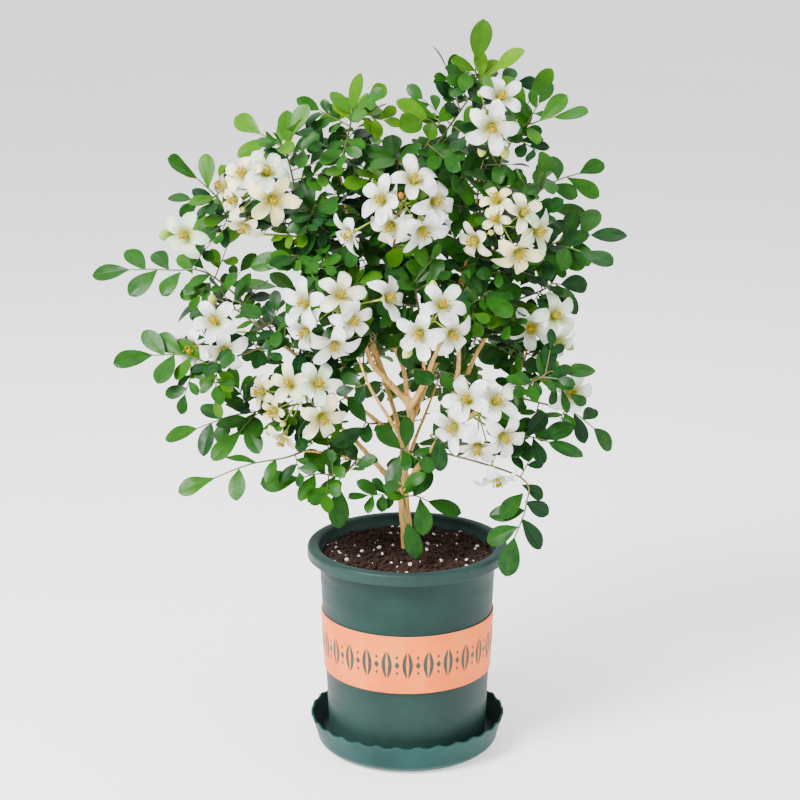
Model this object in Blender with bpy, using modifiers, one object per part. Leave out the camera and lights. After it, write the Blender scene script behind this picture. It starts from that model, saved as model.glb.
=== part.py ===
"""Orange jasmine bonsai in a plastic pot on a scalloped saucer, as separate solids.

Run with: blender --background --python part.py
Metres, +Z up. The origin is the centre of the saucer's flat underside, -Y is the front.
Lengths in the tables below are millimetres and are turned to metres where they are used.
"""

import math
import random

import bmesh
import bpy
from mathutils import Matrix, Vector, noise
from mathutils.bvhtree import BVHTree

MM = 0.001
SEAT_GAP = 0.3
WELD = 0.0001
RING_SIDES = 30

# Pot, turned about Z
POT_BASE_Z = 3.3
POT_HEIGHT_Z = 180.0
POT_BASE_RADIUS = 67.0
POT_NECK_RADIUS = 75.0
POT_NECK_Z = 172.0
POT_WALL = 2.2
POT_FLOOR = 3.0
RIM_RADIUS = 85.0
RIM_DROP = 10.0
RIM_THICKNESS = 2.4
RIM_ROUNDING = 1.6
DRAIN_HOLES = 4
DRAIN_RADIUS = 5.0
DRAIN_CIRCLE = 36.0
SHOULDER = 1.0

# Coloured band round the pot
BAND_LOW_Z = 71.0
BAND_HIGH_Z = 122.0
BAND_THICKNESS = 1.0

# Saucer with a scalloped edge
SAUCER_FOOT_RADIUS = 70.0
SAUCER_EDGE_RADIUS = 83.5
SAUCER_EDGE_Z = 27.0
SAUCER_WALL = 2.2
SAUCER_FLOOR = 3.0
SCALLOPS = 30
SCALLOP_HEIGHT = 2.6
SAUCER_TURN_OUT = 7.6
SAUCER_TURN_Z = 6.6
SAUCER_HEEL = 1.0

# Potting mix
SOIL_EDGE_Z = 169.0
SOIL_MOUND = 3.0
SOIL_LUMP = 1.6
SOIL_LUMP_SIZE = 13.0
SOIL_SEED = 7
SOIL_RINGS = (16.0, 34.0, 54.0)
SOIL_WALL_GAP = 0.35

# Trunk foot in the soil
FOOT_X, FOOT_Y = 0.0, 8.0
FOOT_BOTTOM_Z = 112.0
HOLE_RADIUS = 6.6
HOLE_SPARE = 16.0

WOOD = "trunk_and_limbs"
STEPS_A_SPAN = 6
BARE_SHARE = 0.2
ROOT_CHOICES = 8
ROOT_STRIDE = 4
STEM_STEPS = (2, 1, 1)
TURN_COST = 18.0
DROP_COST = 0.8
FORK_TURN = 0.55
TWIG_RADIUS = 1.2
TWIG_TIP_RADIUS = 0.8
RACHIS_RADIUS = 0.9
STALK_RADIUS = 1.4
PEDICEL_RADIUS = 0.75
FROND_ARCH = 3.0
BEND_CHOICES = (0.0, 5.0, 9.0, 14.0, 20.0)
SIDE_BENDS = (0.0, 4.0, 8.0, 12.0, 16.0)
BACK_FROM_Y = 40.0
ROOT_SINK = 0.5
END_LEAFLET = 29.0
SHORTEST_RACHIS = 8.0
MAIN_LEAFLETS = 4
SIDES_IN_FRONT = ((1, 3),)
SIDES_BEHIND = ((1, 3), (-1, 2))
MAIN_START = 0.12
SIDE_START = 0.4
SIDE_FORWARD = 0.5
SIDE_REACH = (0.7, 0.95)
SIDE_LIFT = 0.35
LEAF_TURNS = (
    (0, 0), (0, 0.5), (-0.25, -0.5), (0.25, 0.6), (-0.45, 0.9), (0.4, -0.9), (-0.6, -1.3), (0.6, 1.4))

LEAF_LENGTH = 28.0
LEAF_WIDTH = 14.5
LEAF_THICKNESS = 1.2
LEAF_NEAR_SIZE = 0.8
LEAF_SIZE_GAIN = 0.35
LEAF_SIZE_SPREAD = (0.9, 1.1)
LEAF_ANGLES = (48.0, 62.0)
LEAF_END_ANGLE = 6.0
LEAF_TILT = 0.25
LEAF_DROOP = (0.05, 0.22)
FACE_OUT = 0.25
FACE_LEVEL = 0.75
FACE_UP = 0.75
PETAL_LENGTH = 20.0
PETAL_THICKNESS = 1.1
BUD_LENGTH = 15.0
BUD_RADIUS = 4.6
BUD_RINGS = ((-0.28, 0.85), (0.2, 0.95))
NECK_DEPTH = 3.5
NECK_RADIUS = 1.2
PETAL_DISH = 0.6
HUB_RADIUS = 3.2
WIDEST_LEAN = 0.88
PETAL_CUP = 0.28
PETAL_WIDE_AT = 0.6
PETAL_HALF_WIDTH = 0.25
NOTCH_OUT = 0.2
NOTCH_UP = 0.12
SIDE_CUP = 0.8
TWIST_STEP = 25.0
DOME_RADIUS = 34.0
FORWARD_CHOICES = (0.0, 8.0, 16.0)

PLAN_SEED = 11

# Limbs of the wood: name, radius at the start and end, sides of the tube, route of points
LIMBS = (
    ("trunk", 6.0, 4.4, 6, (
        (0, 8, 112), (0, 8, 150), (0, 8, 173), (-1, 7, 192), (-3, 5, 212), (-4, 4, 229))),
    ("main_stem", 4.0, 2.9, 6, (
        (-3, 5, 220), (-3, 2, 246), (-2, 1, 264), (3, 0, 286), (-1, 0, 309))),
    ("right_limb", 3.5, 1.3, 4, (
        (-4, 5, 219), (9, 2, 245), (18, 0, 257), (32, -2, 284), (42, -2, 331), (42, 0, 366),
        (46, 4, 405))),
    ("right_mid", 2.3, 1.2, 4, (
        (29, -1, 278), (44, 4, 308), (54, 6, 336), (68, 8, 362), (79, 10, 388), (92, 12, 425))),
    ("right_low", 2.2, 1.1, 4, (
        (22, -1, 264), (50, -4, 290), (74, -8, 308), (90, 0, 322), (98, 14, 336),
        (102, 26, 348))),
    ("left_limb", 3.0, 1.2, 4, (
        (-4, 5, 222), (-13, 3, 233), (-29, 0, 252), (-46, 2, 271), (-62, 4, 284),
        (-88, 6, 300))),
    ("left_low", 1.8, 1.0, 4, (
        (-27, 0, 250), (-46, -4, 255), (-70, -10, 262), (-92, -12, 264))),
    ("left_mid", 2.5, 1.1, 4, (
        (-2, 1, 260), (-14, -2, 276), (-25, -4, 287), (-56, -6, 313), (-84, -8, 338),
        (-112, -8, 362))),
    ("upper_left", 2.8, 1.1, 4, (
        (0, 0, 302), (-19, -4, 325), (-29, -8, 337), (-34, -10, 351), (-42, -12, 375),
        (-56, -8, 405), (-78, -2, 438), (-98, 4, 470))),
    ("upper_left_back", 1.9, 1.0, 4, (
        (-17, -3, 322), (-25, 4, 342), (-31, 14, 360), (-36, 24, 390), (-46, 34, 430),
        (-56, 38, 490))),
    ("upper_centre", 2.2, 1.0, 4, (
        (0, 0, 301), (-3, 6, 328), (-12, 14, 350), (-18, 20, 386), (-10, 18, 440),
        (0, 12, 492))),
    ("upper_right", 2.6, 1.0, 4, (
        (1, 0, 296), (15, -4, 323), (20, -6, 338), (27, -8, 356), (38, -6, 392),
        (50, 2, 430), (60, 8, 500))),
    ("front_fork", 1.7, 1.0, 4, (
        (15, -4, 322), (13, -10, 340), (12, -16, 356), (10, -26, 382))),
    ("back_left", 2.4, 1.0, 4, (
        (-3, 1, 256), (-12, 30, 290), (-30, 70, 330), (-52, 100, 380), (-66, 116, 424))),
    ("back_right", 2.4, 1.0, 4, (
        (2, 0, 282), (20, 38, 318), (44, 78, 356), (70, 102, 400), (84, 112, 434))),
    ("back_low", 2.0, 1.0, 4, (
        (-4, 5, 230), (4, 38, 252), (16, 76, 272), (28, 106, 296))),
    ("front_left", 2.0, 1.0, 4, (
        (-2, 1, 264), (-14, -26, 294), (-30, -46, 326), (-40, -58, 356))),
    ("front_right", 2.0, 1.0, 4, (
        (9, 2, 244), (24, -22, 268), (40, -44, 296), (50, -58, 324))),
)

# Umbels seen face on: (angle, distance, petal share) of each bloom, then (angle, distance, share)
# of each bud. Angles turn from +X towards +Z as seen from the front.
UMBELS = {
    "ring": (
        ((169, 17, 1.0), (66, 19, 1.0), (4, 23, 1.0), (304, 24, 1.05), (239, 19, 0.9),
         (209, 47, 0.95)),
        ((110, 7, 0.55),)),
    "trio": (
        ((206, 15, 1.0), (326, 13, 1.0), (76, 15, 0.95)),
        ((226, 33, 0.85), (94, 29, 0.8))),
    "cream": (
        ((342, 19, 1.05), (112, 14, 0.85), (174, 24, 0.7), (208, 15, 0.6), (256, 28, 0.85),
         (51, 20, 0.95)),
        ((246, 17, 0.55),)),
    "pair": (
        ((262, 12, 1.1), (61, 12, 0.9)),
        ((288, 33, 0.95), (256, 31, 0.8), (124, 17, 0.6))),
    "single": (
        ((0, 0, 1.0),),
        ((185, 20, 1.0),)),
}

# Flower clusters: name, umbel, centre, facing, spin in degrees, mirrored, scale
CLUSTERS = (
    ("flowers_top", "pair", (68, -22, 548), (0.1, -1.0, 0.2), 0, False, 1.0),
    ("flowers_upper_centre", "ring", (-3, -48, 478), (0.0, -1.0, 0.15), 0, False, 1.0),
    ("flowers_upper_left", "cream", (-127, -24, 484), (-0.25, -1.0, 0.15), 0, False, 0.95),
    ("flowers_upper_right", "cream", (84, -38, 456), (0.2, -1.0, 0.1), -58, False, 1.0),
    ("flowers_far_left", "single", (-180, -10, 446), (-0.3, -1.0, 0.1), 0, False, 1.0),
    ("flowers_centre_left", "ring", (-64, -62, 392), (-0.1, -1.0, 0.1), 224, True, 1.0),
    ("flowers_left", "trio", (-161, -28, 362), (-0.2, -1.0, 0.0), 0, False, 1.05),
    ("flowers_centre", "trio", (24, -66, 384), (0.1, -1.0, 0.1), 0, False, 1.0),
    ("flowers_right", "trio", (116, -4, 366), (0.3, -1.0, 0.0), 96, False, 0.9),
    ("flowers_lower_left", "cream", (-92, -44, 312), (-0.15, -1.0, 0.0), -8, False, 1.2),
    ("flowers_lower_right", "ring", (62, -60, 302), (0.15, -1.0, 0.0), 131, True, 1.0),
    ("flowers_far_right", "single", (133, -22, 318), (0.3, -1.0, 0.0), 240, False, 0.95),
    ("flowers_back", "trio", (14, 132, 450), (0.1, 1.0, 0.25), 30, False, 1.0),
)

# Leafy sprays: name, where its leaves begin, then each frond's tip and number of leaflets.
# A spray whose fronds are not listed grows three fronds by the rule in fronds_of.
SPRAYS = (
    ("spray_far_left", (-160, 18, 405), (((-261, 30, 412), 7),)),
    ("spray_left", (-156, -26, 344), (((-235, -45, 357), 7),)),
    ("spray_left_lower", (-120, 10, 293), (((-206, 30, 264), 6), ((-158, -28, 268), 4))),
    ("spray_lower_left", (-102, -26, 262), (((-186, -55, 245), 4),)),
    ("spray_low_left", (-56, -12, 242), (((-118, -26, 243), 4), ((-62, -30, 208), 1))),
    ("spray_front_low", (-4, -20, 226), (((5, -54, 186), 1), ((46, -28, 220), 3))),
    ("spray_right_drooping", (78, -56, 258), (((92, -66, 176), 7),)),
    ("spray_right_low", (83, -30, 280), (((141, -60, 283), 6),)),
    ("spray_right_outer", (128, 14, 294), (((181, 40, 256), 4),)),
    ("spray_right_mid", (106, -36, 332), (((152, -34, 346), 5),)),
    ("spray_right_small", (113, 30, 392), (((155, 50, 400), 5),)),
    ("spray_far_right", (112, 8, 432), (((178, 0, 452), 6), ((157, -50, 438), 3))),
    ("spray_upper_right", (104, 8, 476), (((166, 45, 499), 5), ((113, -40, 518), 2))),
    ("spray_top_right", (86, 6, 524), (((136, -40, 556), 4), ((112, 20, 580), 4))),
    ("spray_apex", (54, 20, 560), (((57, 6, 612), 4), ((86, -12, 598), 3))),
    ("spray_top_middle", (24, 4, 532), (((14, 20, 561), 4), ((-2, -45, 550), 3))),
    ("spray_top_left", (-46, 6, 536), (((-42, 0, 576), 5), ((-70, 45, 547), 3))),
    ("spray_upper_left", (-98, 6, 508), (((-141, 35, 539), 4), ((-88, -40, 551), 4))),
    ("spray_left_upper", (-142, 4, 456), (((-184, -35, 515), 5), ((-185, 50, 450), 3))),
    ("spray_left_mid", (-138, 2, 384), (((-196, 55, 377), 5), ((-132, -30, 402), 2))),
    ("spray_inner_upper_left", (-78, -4, 462), ((-62, -24, 492),)),
    ("spray_inner_top", (-8, 4, 500), ((-20, -16, 526),)),
    ("spray_inner_upper_right", (44, 0, 486), ((38, -26, 512),)),
    ("spray_inner_right", (92, 8, 444), ((104, 10, 488),)),
    ("spray_inner_right_mid", (60, -14, 394), ((80, -40, 412),)),
    ("spray_inner_centre", (6, -20, 404), ((0, -52, 428),)),
    ("spray_inner_left_mid", (-86, -10, 424), ((-104, -40, 444),)),
    ("spray_low_centre", (-4, -16, 266), (((-16, -48, 252), 4), ((20, -44, 268), 3))),
    ("spray_low_right", (28, -26, 276), (((52, -52, 264), 4),)),
    ("spray_low_left_inner", (-32, -14, 288), (((-52, -38, 280), 4),)),
    ("spray_mid_left", (-52, -10, 334), (((-46, -40, 340), 4), ((-66, -22, 350), 3))),
    ("spray_centre_low", (4, -22, 334), (((8, -54, 336), 4),)),
    ("spray_centre_left", (-26, -8, 360), ((-16, -38, 372),)),
    ("spray_back_left_upper", (-74, 116, 432), ((-104, 156, 470),)),
    ("spray_back_left", (-70, 88, 366), ((-140, 120, 386),)),
    ("spray_back_middle", (6, 108, 392), ((0, 170, 402),)),
    ("spray_back_right", (90, 108, 446), ((126, 136, 484),)),
    ("spray_back_right_low", (72, 76, 342), ((130, 108, 342),)),
    ("spray_back_low", (28, 108, 300), ((22, 164, 290),)),
    ("spray_back_left_low", (-38, 72, 318), ((-100, 112, 308),)),
    ("spray_back_upper", (-26, 46, 488), ((-30, 96, 528),)),
    ("spray_back_top", (40, 36, 492), ((56, 80, 540),)),
)


# Blender helpers

def plan_random(name):
    """A random stream of its own for each named thing, the same on every run."""
    return random.Random(f"{PLAN_SEED} {name}")


def clear_scene():
    for old in list(bpy.data.objects):
        bpy.data.objects.remove(old, do_unlink=True)


def collection_of(name):
    made = bpy.data.collections.new(name)
    bpy.context.scene.collection.children.link(made)
    return made


def plain_material(name, colour, roughness):
    made = bpy.data.materials.new(name)
    made.use_nodes = True
    shader = made.node_tree.nodes["Principled BSDF"]
    shader.inputs["Base Color"].default_value = (*colour, 1.0)
    shader.inputs["Roughness"].default_value = roughness
    shader.inputs["Metallic"].default_value = 0.0
    return made


def object_from(name, mesh, collection, material=None):
    made = bpy.data.objects.new(name, mesh)
    if material is not None:
        mesh.materials.clear()
        mesh.materials.append(material)
    collection.objects.link(made)
    return made


def mesh_of(bm, name):
    bmesh.ops.recalc_face_normals(bm, faces=bm.faces)
    mesh = bpy.data.meshes.new(name)
    bm.to_mesh(mesh)
    bm.free()
    return mesh


def evaluated_mesh(made):
    """The object's mesh with its modifiers applied; the object itself is then removed."""
    graph = bpy.context.evaluated_depsgraph_get()
    mesh = bpy.data.meshes.new_from_object(made.evaluated_get(graph))
    mesh.transform(made.matrix_world)
    bm = bmesh.new()
    bm.from_mesh(mesh)
    bmesh.ops.remove_doubles(bm, verts=bm.verts, dist=WELD * MM)
    bm.to_mesh(mesh)
    bm.free()
    bpy.data.objects.remove(made, do_unlink=True)
    return mesh


def turned(name, profile, steps, collection, material):
    """A solid turned about Z from (radius, height) pairs in millimetres that form a closed loop."""
    bm = bmesh.new()
    points = [bm.verts.new((r * MM, 0.0, z * MM)) for r, z in profile]
    for a, b in zip(points, points[1:] + points[:1]):
        bm.edges.new((a, b))
    mesh = bpy.data.meshes.new(name)
    bm.to_mesh(mesh)
    bm.free()
    made = object_from(name, mesh, collection, material)
    screw = made.modifiers.new("turn", "SCREW")
    screw.steps = steps
    screw.render_steps = steps
    screw.use_merge_vertices = True
    screw.merge_threshold = 0.00001
    return made


def tube(route, radii, sides=4):
    """A closed tube mesh along a route, with a radius at each point; four, six or eight sides."""
    curve = bpy.data.curves.new("tube", "CURVE")
    curve.dimensions = "3D"
    curve.bevel_depth = 1.0
    curve.bevel_resolution = (sides - 4) // 2
    curve.use_fill_caps = True
    spline = curve.splines.new("POLY")
    spline.points.add(len(route) - 1)
    for point, at, radius in zip(spline.points, route, radii):
        point.co = (*(at * MM), 1.0)
        point.radius = radius * MM
    holder = bpy.data.objects.new("tube", curve)
    bm = bmesh.new()
    bm.from_mesh(bpy.data.meshes.new_from_object(holder))
    bmesh.ops.remove_doubles(bm, verts=bm.verts, dist=0.001 * MM)
    bpy.data.objects.remove(holder, do_unlink=True)
    bpy.data.curves.remove(curve)
    return mesh_of(bm, "tube")


def across(direction):
    """Two directions at right angles to the given one and to each other."""
    side = direction.orthogonal().normalized()
    return side, direction.cross(side).normalized()


def ring_of(bm, at, direction, radius, sides):
    side, other = across(direction)
    turns = (2 * math.pi * i / sides for i in range(sides))
    return [bm.verts.new(at + (side * math.cos(a) + other * math.sin(a)) * radius) for a in turns]


def join_rings(bm, ring, after):
    """Faces between a ring of points and the next one, or a single point."""
    for i in range(len(ring)):
        k = (i + 1) % len(ring)
        if len(after) == 1:
            bm.faces.new((ring[i], ring[k], after[0]))
        else:
            bm.faces.new((ring[i], ring[k], after[k], after[i]))


def thin_stem(route, radii, heading=None):
    """A closed three-sided stem along a route, whose first end is square to the heading if given."""
    bm = bmesh.new()
    side, _ = across((route[-1] - route[0]).normalized())
    rings = []
    for i, (at, radius) in enumerate(zip(route, radii)):
        along = (route[min(i + 1, len(route) - 1)] - route[max(i - 1, 0)]).normalized()
        if i == 0 and heading is not None:
            along = heading
        out = (side - along * side.dot(along)).normalized()
        other = along.cross(out)
        rings.append([
            bm.verts.new((at + (out * math.cos(a) + other * math.sin(a)) * radius) * MM)
            for a in (2 * math.pi * k / 3 for k in range(3))])
    for ring, after in zip(rings, rings[1:]):
        join_rings(bm, ring, after)
    bm.faces.new(rings[0])
    bm.faces.new(rings[-1])
    return mesh_of(bm, "stem")


def tree_of(mesh):
    points = [v.co.copy() for v in mesh.vertices]
    return BVHTree.FromPolygons(points, [tuple(p.vertices) for p in mesh.polygons])


def box_of(mesh):
    points = [v.co for v in mesh.vertices]
    low = Vector(min(p[i] for p in points) for i in range(3))
    high = Vector(max(p[i] for p in points) for i in range(3))
    return low, high


def largest_body(mesh):
    """The mesh without the small bodies that a union left touching it at a point or not at all."""
    bm = bmesh.new()
    bm.from_mesh(mesh)
    bodies, seen = [], set()
    for face in bm.faces:
        if face in seen:
            continue
        seen.add(face)
        body = [face]
        for known in body:
            for edge in known.edges:
                fresh = [other for other in edge.link_faces if other not in seen]
                seen.update(fresh)
                body.extend(fresh)
        bodies.append(body)
    bodies.sort(key=len)
    for scrap in bodies[:-1]:
        bmesh.ops.delete(bm, geom=scrap, context="FACES")
    bm.to_mesh(mesh)
    bm.free()
    return mesh


def fuse(name, meshes, collection, material):
    """Joins overlapping closed meshes into one body with a Boolean union."""
    pieces = collection_of(name + "_pieces")
    for mesh in meshes[1:]:
        object_from(name + "_piece", mesh, pieces)
    made = object_from(name, meshes[0], collection, material)
    if len(meshes) > 1:
        union = made.modifiers.new("union", "BOOLEAN")
        union.operation = "UNION"
        union.operand_type = "COLLECTION"
        union.collection = pieces
        union.solver = "MANIFOLD"
        bpy.context.view_layer.update()
        made = object_from(name, largest_body(evaluated_mesh(made)), collection, material)
    for piece in list(pieces.objects):
        bpy.data.objects.remove(piece, do_unlink=True)
    bpy.data.collections.remove(pieces)
    return made


# Clearance between nodes

class Placed:
    """Closed meshes already placed, each with the node that it belongs to."""

    def __init__(self):
        self.pieces = []

    def add(self, node, mesh):
        self.pieces.append((node, tree_of(mesh), *box_of(mesh)))

    def clear(self, mesh, skip=()):
        """True if the mesh touches no placed piece, apart from those of the nodes in skip."""
        low, high = box_of(mesh)
        tree = None
        for node, other, other_low, other_high in self.pieces:
            if node in skip:
                continue
            if any(low[i] > other_high[i] or high[i] < other_low[i] for i in range(3)):
                continue
            tree = tree or tree_of(mesh)
            if tree.overlap(other):
                return False
        return True


# Pot, band, saucer and soil

def pot_radius(z):
    """Outer radius of the pot's wall at a height, in millimetres."""
    share = (z - POT_BASE_Z) / (POT_NECK_Z - POT_BASE_Z)
    return POT_BASE_RADIUS + (POT_NECK_RADIUS - POT_BASE_RADIUS) * share


def build_pot(collection, material):
    top = POT_HEIGHT_Z
    under = top - RIM_THICKNESS
    inner_base = pot_radius(POT_BASE_Z + POT_FLOOR) - POT_WALL
    profile = (
        (0.0, POT_BASE_Z + POT_FLOOR),
        (inner_base, POT_BASE_Z + POT_FLOOR),
        (pot_radius(POT_NECK_Z) - POT_WALL, POT_NECK_Z),
        (POT_NECK_RADIUS, top),
        (RIM_RADIUS - RIM_ROUNDING, top),
        (RIM_RADIUS, top - RIM_ROUNDING),
        (RIM_RADIUS, top - RIM_DROP),
        (RIM_RADIUS - RIM_THICKNESS, top - RIM_DROP),
        (RIM_RADIUS - RIM_THICKNESS, under),
        (POT_NECK_RADIUS + SHOULDER, under),
        (pot_radius(POT_NECK_Z), POT_NECK_Z),
        (POT_BASE_RADIUS, POT_BASE_Z),
        (0.0, POT_BASE_Z),
    )
    made = turned("pot", profile[::-1], RING_SIDES, collection, material)
    mesh = evaluated_mesh(made)
    bm = bmesh.new()
    bm.from_mesh(mesh)
    mesh = mesh_of(bm, "pot")
    made = object_from("pot", mesh, collection, material)
    cutters = collection_of("pot_cutters")
    for i in range(DRAIN_HOLES):
        angle = 2 * math.pi * (i + 0.5) / DRAIN_HOLES
        cutter_bm = bmesh.new()
        place = Matrix.Translation((
            DRAIN_CIRCLE * math.cos(angle) * MM,
            DRAIN_CIRCLE * math.sin(angle) * MM,
            (POT_BASE_Z + POT_FLOOR / 2) * MM))
        bmesh.ops.create_cone(
            cutter_bm, cap_ends=True, segments=8, radius1=DRAIN_RADIUS * MM,
            radius2=DRAIN_RADIUS * MM, depth=4 * POT_FLOOR * MM, matrix=place)
        cutter = object_from("drain_cutter", mesh_of(cutter_bm, "drain_cutter"), cutters)
        cutter.hide_render = True
        cutter.display_type = "WIRE"
    cut = made.modifiers.new("drain_holes", "BOOLEAN")
    cut.operation = "DIFFERENCE"
    cut.operand_type = "COLLECTION"
    cut.collection = cutters
    cut.solver = "EXACT"
    return made


def build_band(collection, material):
    """The band follows the pot's wall, a seat's gap outside it."""
    low_inner = pot_radius(BAND_LOW_Z) + SEAT_GAP
    high_inner = pot_radius(BAND_HIGH_Z) + SEAT_GAP
    profile = (
        (low_inner, BAND_LOW_Z),
        (low_inner + BAND_THICKNESS, BAND_LOW_Z),
        (high_inner + BAND_THICKNESS, BAND_HIGH_Z),
        (high_inner, BAND_HIGH_Z),
    )
    return turned("pot_band", profile[::-1], RING_SIDES, collection, material)


def build_saucer(collection, material):
    """A dish whose edge rises and falls in scallops."""
    profile = (
        (0.0, SAUCER_FLOOR),
        (SAUCER_FOOT_RADIUS + SAUCER_HEEL, SAUCER_FLOOR),
        (SAUCER_EDGE_RADIUS - SAUCER_WALL, SAUCER_EDGE_Z),
        (SAUCER_EDGE_RADIUS, SAUCER_EDGE_Z),
        (SAUCER_FOOT_RADIUS + SAUCER_TURN_OUT, SAUCER_TURN_Z),
        (SAUCER_FOOT_RADIUS, 0.0),
        (0.0, 0.0),
    )
    made = turned("saucer", profile[::-1], 2 * SCALLOPS, collection, material)
    mesh = evaluated_mesh(made)
    for vertex in mesh.vertices:
        if vertex.co.z > (SAUCER_EDGE_Z - 0.1) * MM:
            turn = math.atan2(vertex.co.y, vertex.co.x)
            vertex.co.z += SCALLOP_HEIGHT / 2 * MM * math.cos(SCALLOPS * turn)
    bm = bmesh.new()
    bm.from_mesh(mesh)
    return object_from("saucer", mesh_of(bm, "saucer"), collection, material)


def soil_height(x, y):
    """Height of the soil's surface in millimetres: a low mound with lumps."""
    reach = math.hypot(x, y) / pot_radius(SOIL_EDGE_Z)
    lump = noise.noise(Vector((x / SOIL_LUMP_SIZE, y / SOIL_LUMP_SIZE, SOIL_SEED)))
    return SOIL_EDGE_Z + SOIL_MOUND * (1.0 - reach * reach) + SOIL_LUMP * lump


def build_soil(collection, material):
    bottom_z = POT_BASE_Z + POT_FLOOR + SEAT_GAP
    gap = POT_WALL + SOIL_WALL_GAP
    rings = [(r, SOIL_EDGE_Z) for r in (*SOIL_RINGS, pot_radius(SOIL_EDGE_Z) - gap)]
    profile = [(0.0, bottom_z), (pot_radius(bottom_z) - gap, bottom_z), *rings[::-1],
               (0.0, SOIL_EDGE_Z)]
    made = turned("soil", profile, RING_SIDES, collection, material)
    mesh = evaluated_mesh(made)
    for vertex in mesh.vertices:
        if vertex.co.z > (SOIL_EDGE_Z - 1.0) * MM:
            vertex.co.z = soil_height(vertex.co.x / MM, vertex.co.y / MM) * MM
    bm = bmesh.new()
    bm.from_mesh(mesh)
    made = object_from("soil", mesh_of(bm, "soil"), collection, material)
    cutters = collection_of("soil_cutters")
    depth = SOIL_EDGE_Z - FOOT_BOTTOM_Z + HOLE_SPARE
    place = Matrix.Translation((
        FOOT_X * MM, FOOT_Y * MM, (FOOT_BOTTOM_Z - SEAT_GAP + depth / 2) * MM))
    hole_bm = bmesh.new()
    bmesh.ops.create_cone(
        hole_bm, cap_ends=True, segments=16, radius1=HOLE_RADIUS * MM,
        radius2=HOLE_RADIUS * MM, depth=depth * MM, matrix=place)
    cutter = object_from("trunk_hole", mesh_of(hole_bm, "trunk_hole"), cutters)
    cutter.hide_render = True
    cutter.display_type = "WIRE"
    cut = made.modifiers.new("trunk_hole", "BOOLEAN")
    cut.operation = "DIFFERENCE"
    cut.object = cutter
    cut.solver = "EXACT"
    return made


# Wood

def limb_radii(start, end, count):
    return [start + (end - start) * i / (count - 1) for i in range(count)]


def limb_meshes():
    meshes = []
    for name, start, end, sides, route in LIMBS:
        radii = limb_radii(start, end, len(route))
        meshes.append(tube([Vector(p) for p in route], radii, sides))
    return meshes


def limb_points():
    """(point, direction, radius, at the end) along the limbs, where twigs can grow."""
    found = []
    for name, start, end, _, route in LIMBS:
        if name == "trunk":
            continue
        points = [Vector(p) for p in route]
        radii = limb_radii(start, end, len(points))
        spans = len(points) - 1
        for i in range(spans):
            along = (points[i + 1] - points[i]).normalized()
            for k in range(STEPS_A_SPAN):
                share = k / STEPS_A_SPAN
                if (i + share) / spans > BARE_SHARE:
                    radius = radii[i] + (radii[i + 1] - radii[i]) * share
                    found.append((points[i].lerp(points[i + 1], share), along, radius, False))
        found.append((points[-1], along, radii[-1], True))
    return found


def roots_for(target, limbs):
    """The limb points that a twig to the target can grow from, the best first."""
    def cost(entry):
        at, along, _, last = entry
        away = target - at
        drop = max(0.0, at.z - target.z)
        turn = along.dot(away.normalized())
        return away.length + DROP_COST * drop + TURN_COST * abs(turn - (1.0 if last else FORK_TURN))
    return sorted(limbs, key=cost)[:ROOT_CHOICES * ROOT_STRIDE:ROOT_STRIDE]


def seat_for(root, target):
    """Where a twig to the target starts, a seat's gap off the limb, and its heading there."""
    at, along, radius, last = root
    if last:
        return at + along * SEAT_GAP, along
    away = target - at
    heading = (away - along * away.dot(along)).normalized()
    return at + heading * (radius + SEAT_GAP), heading


def smooth_route(points, steps):
    """Points along a smooth curve through the given ones, with a number of steps for each span."""
    found = [points[0]]
    for i, parts in enumerate(steps):
        before, a, b = points[max(i - 1, 0)], points[i], points[i + 1]
        after = points[min(i + 2, len(points) - 1)]
        for k in range(1, parts + 1):
            t = k / parts
            found.append(0.5 * (
                2 * a + (b - before) * t + (2 * before - 5 * a + 4 * b - after) * t * t
                + (3 * a - before - 3 * b + after) * t * t * t))
    return found


# Leaves

# Share of the length, and half of the width there, of each ring of a leaflet
BLADE_RINGS = ((0.36, 0.86), (0.76, 0.88))


def blade_mesh(place, length, width, droop):
    """A leaflet: a thin three-sided blade along +X, widest past its middle, arched to its tip."""
    bm = bmesh.new()
    root = bm.verts.new((-ROOT_SINK * MM, 0.0, -ROOT_SINK / 2 * MM))
    rings = []
    for share, half in BLADE_RINGS:
        x, y, z = share * length, half * width / 2, -droop * share * share * length
        rings.append([
            bm.verts.new((x, y, z)), bm.verts.new((x, -y, z)),
            bm.verts.new((x, 0.0, z - LEAF_THICKNESS * MM))])
    tip = bm.verts.new((length, 0.0, -droop * length))
    join_rings(bm, rings[0], [root])
    join_rings(bm, rings[0], rings[1])
    join_rings(bm, rings[1], [tip])
    mesh = mesh_of(bm, "leaflet")
    mesh.transform(place)
    return mesh


def facing_matrix(at, along, normal):
    """A placement whose X runs along, and whose Z is as near the normal as it can be."""
    x = along.normalized()
    y = normal.cross(x).normalized()
    z = x.cross(y)
    turn = Matrix((x, y, z)).transposed().to_4x4()
    return Matrix.Translation(at) @ turn


def leaf_normal(at):
    """Which way blades face at a point of the crown: up, outward, and to the front or the back."""
    outward = Vector((at.x, at.y, 0.0)).normalized()
    level = Vector((0.0, -1.0 if at.y < BACK_FROM_Y else 1.0, 0.0))
    return (outward * FACE_OUT + level * FACE_LEVEL + Vector((0.0, 0.0, FACE_UP))).normalized()


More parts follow.
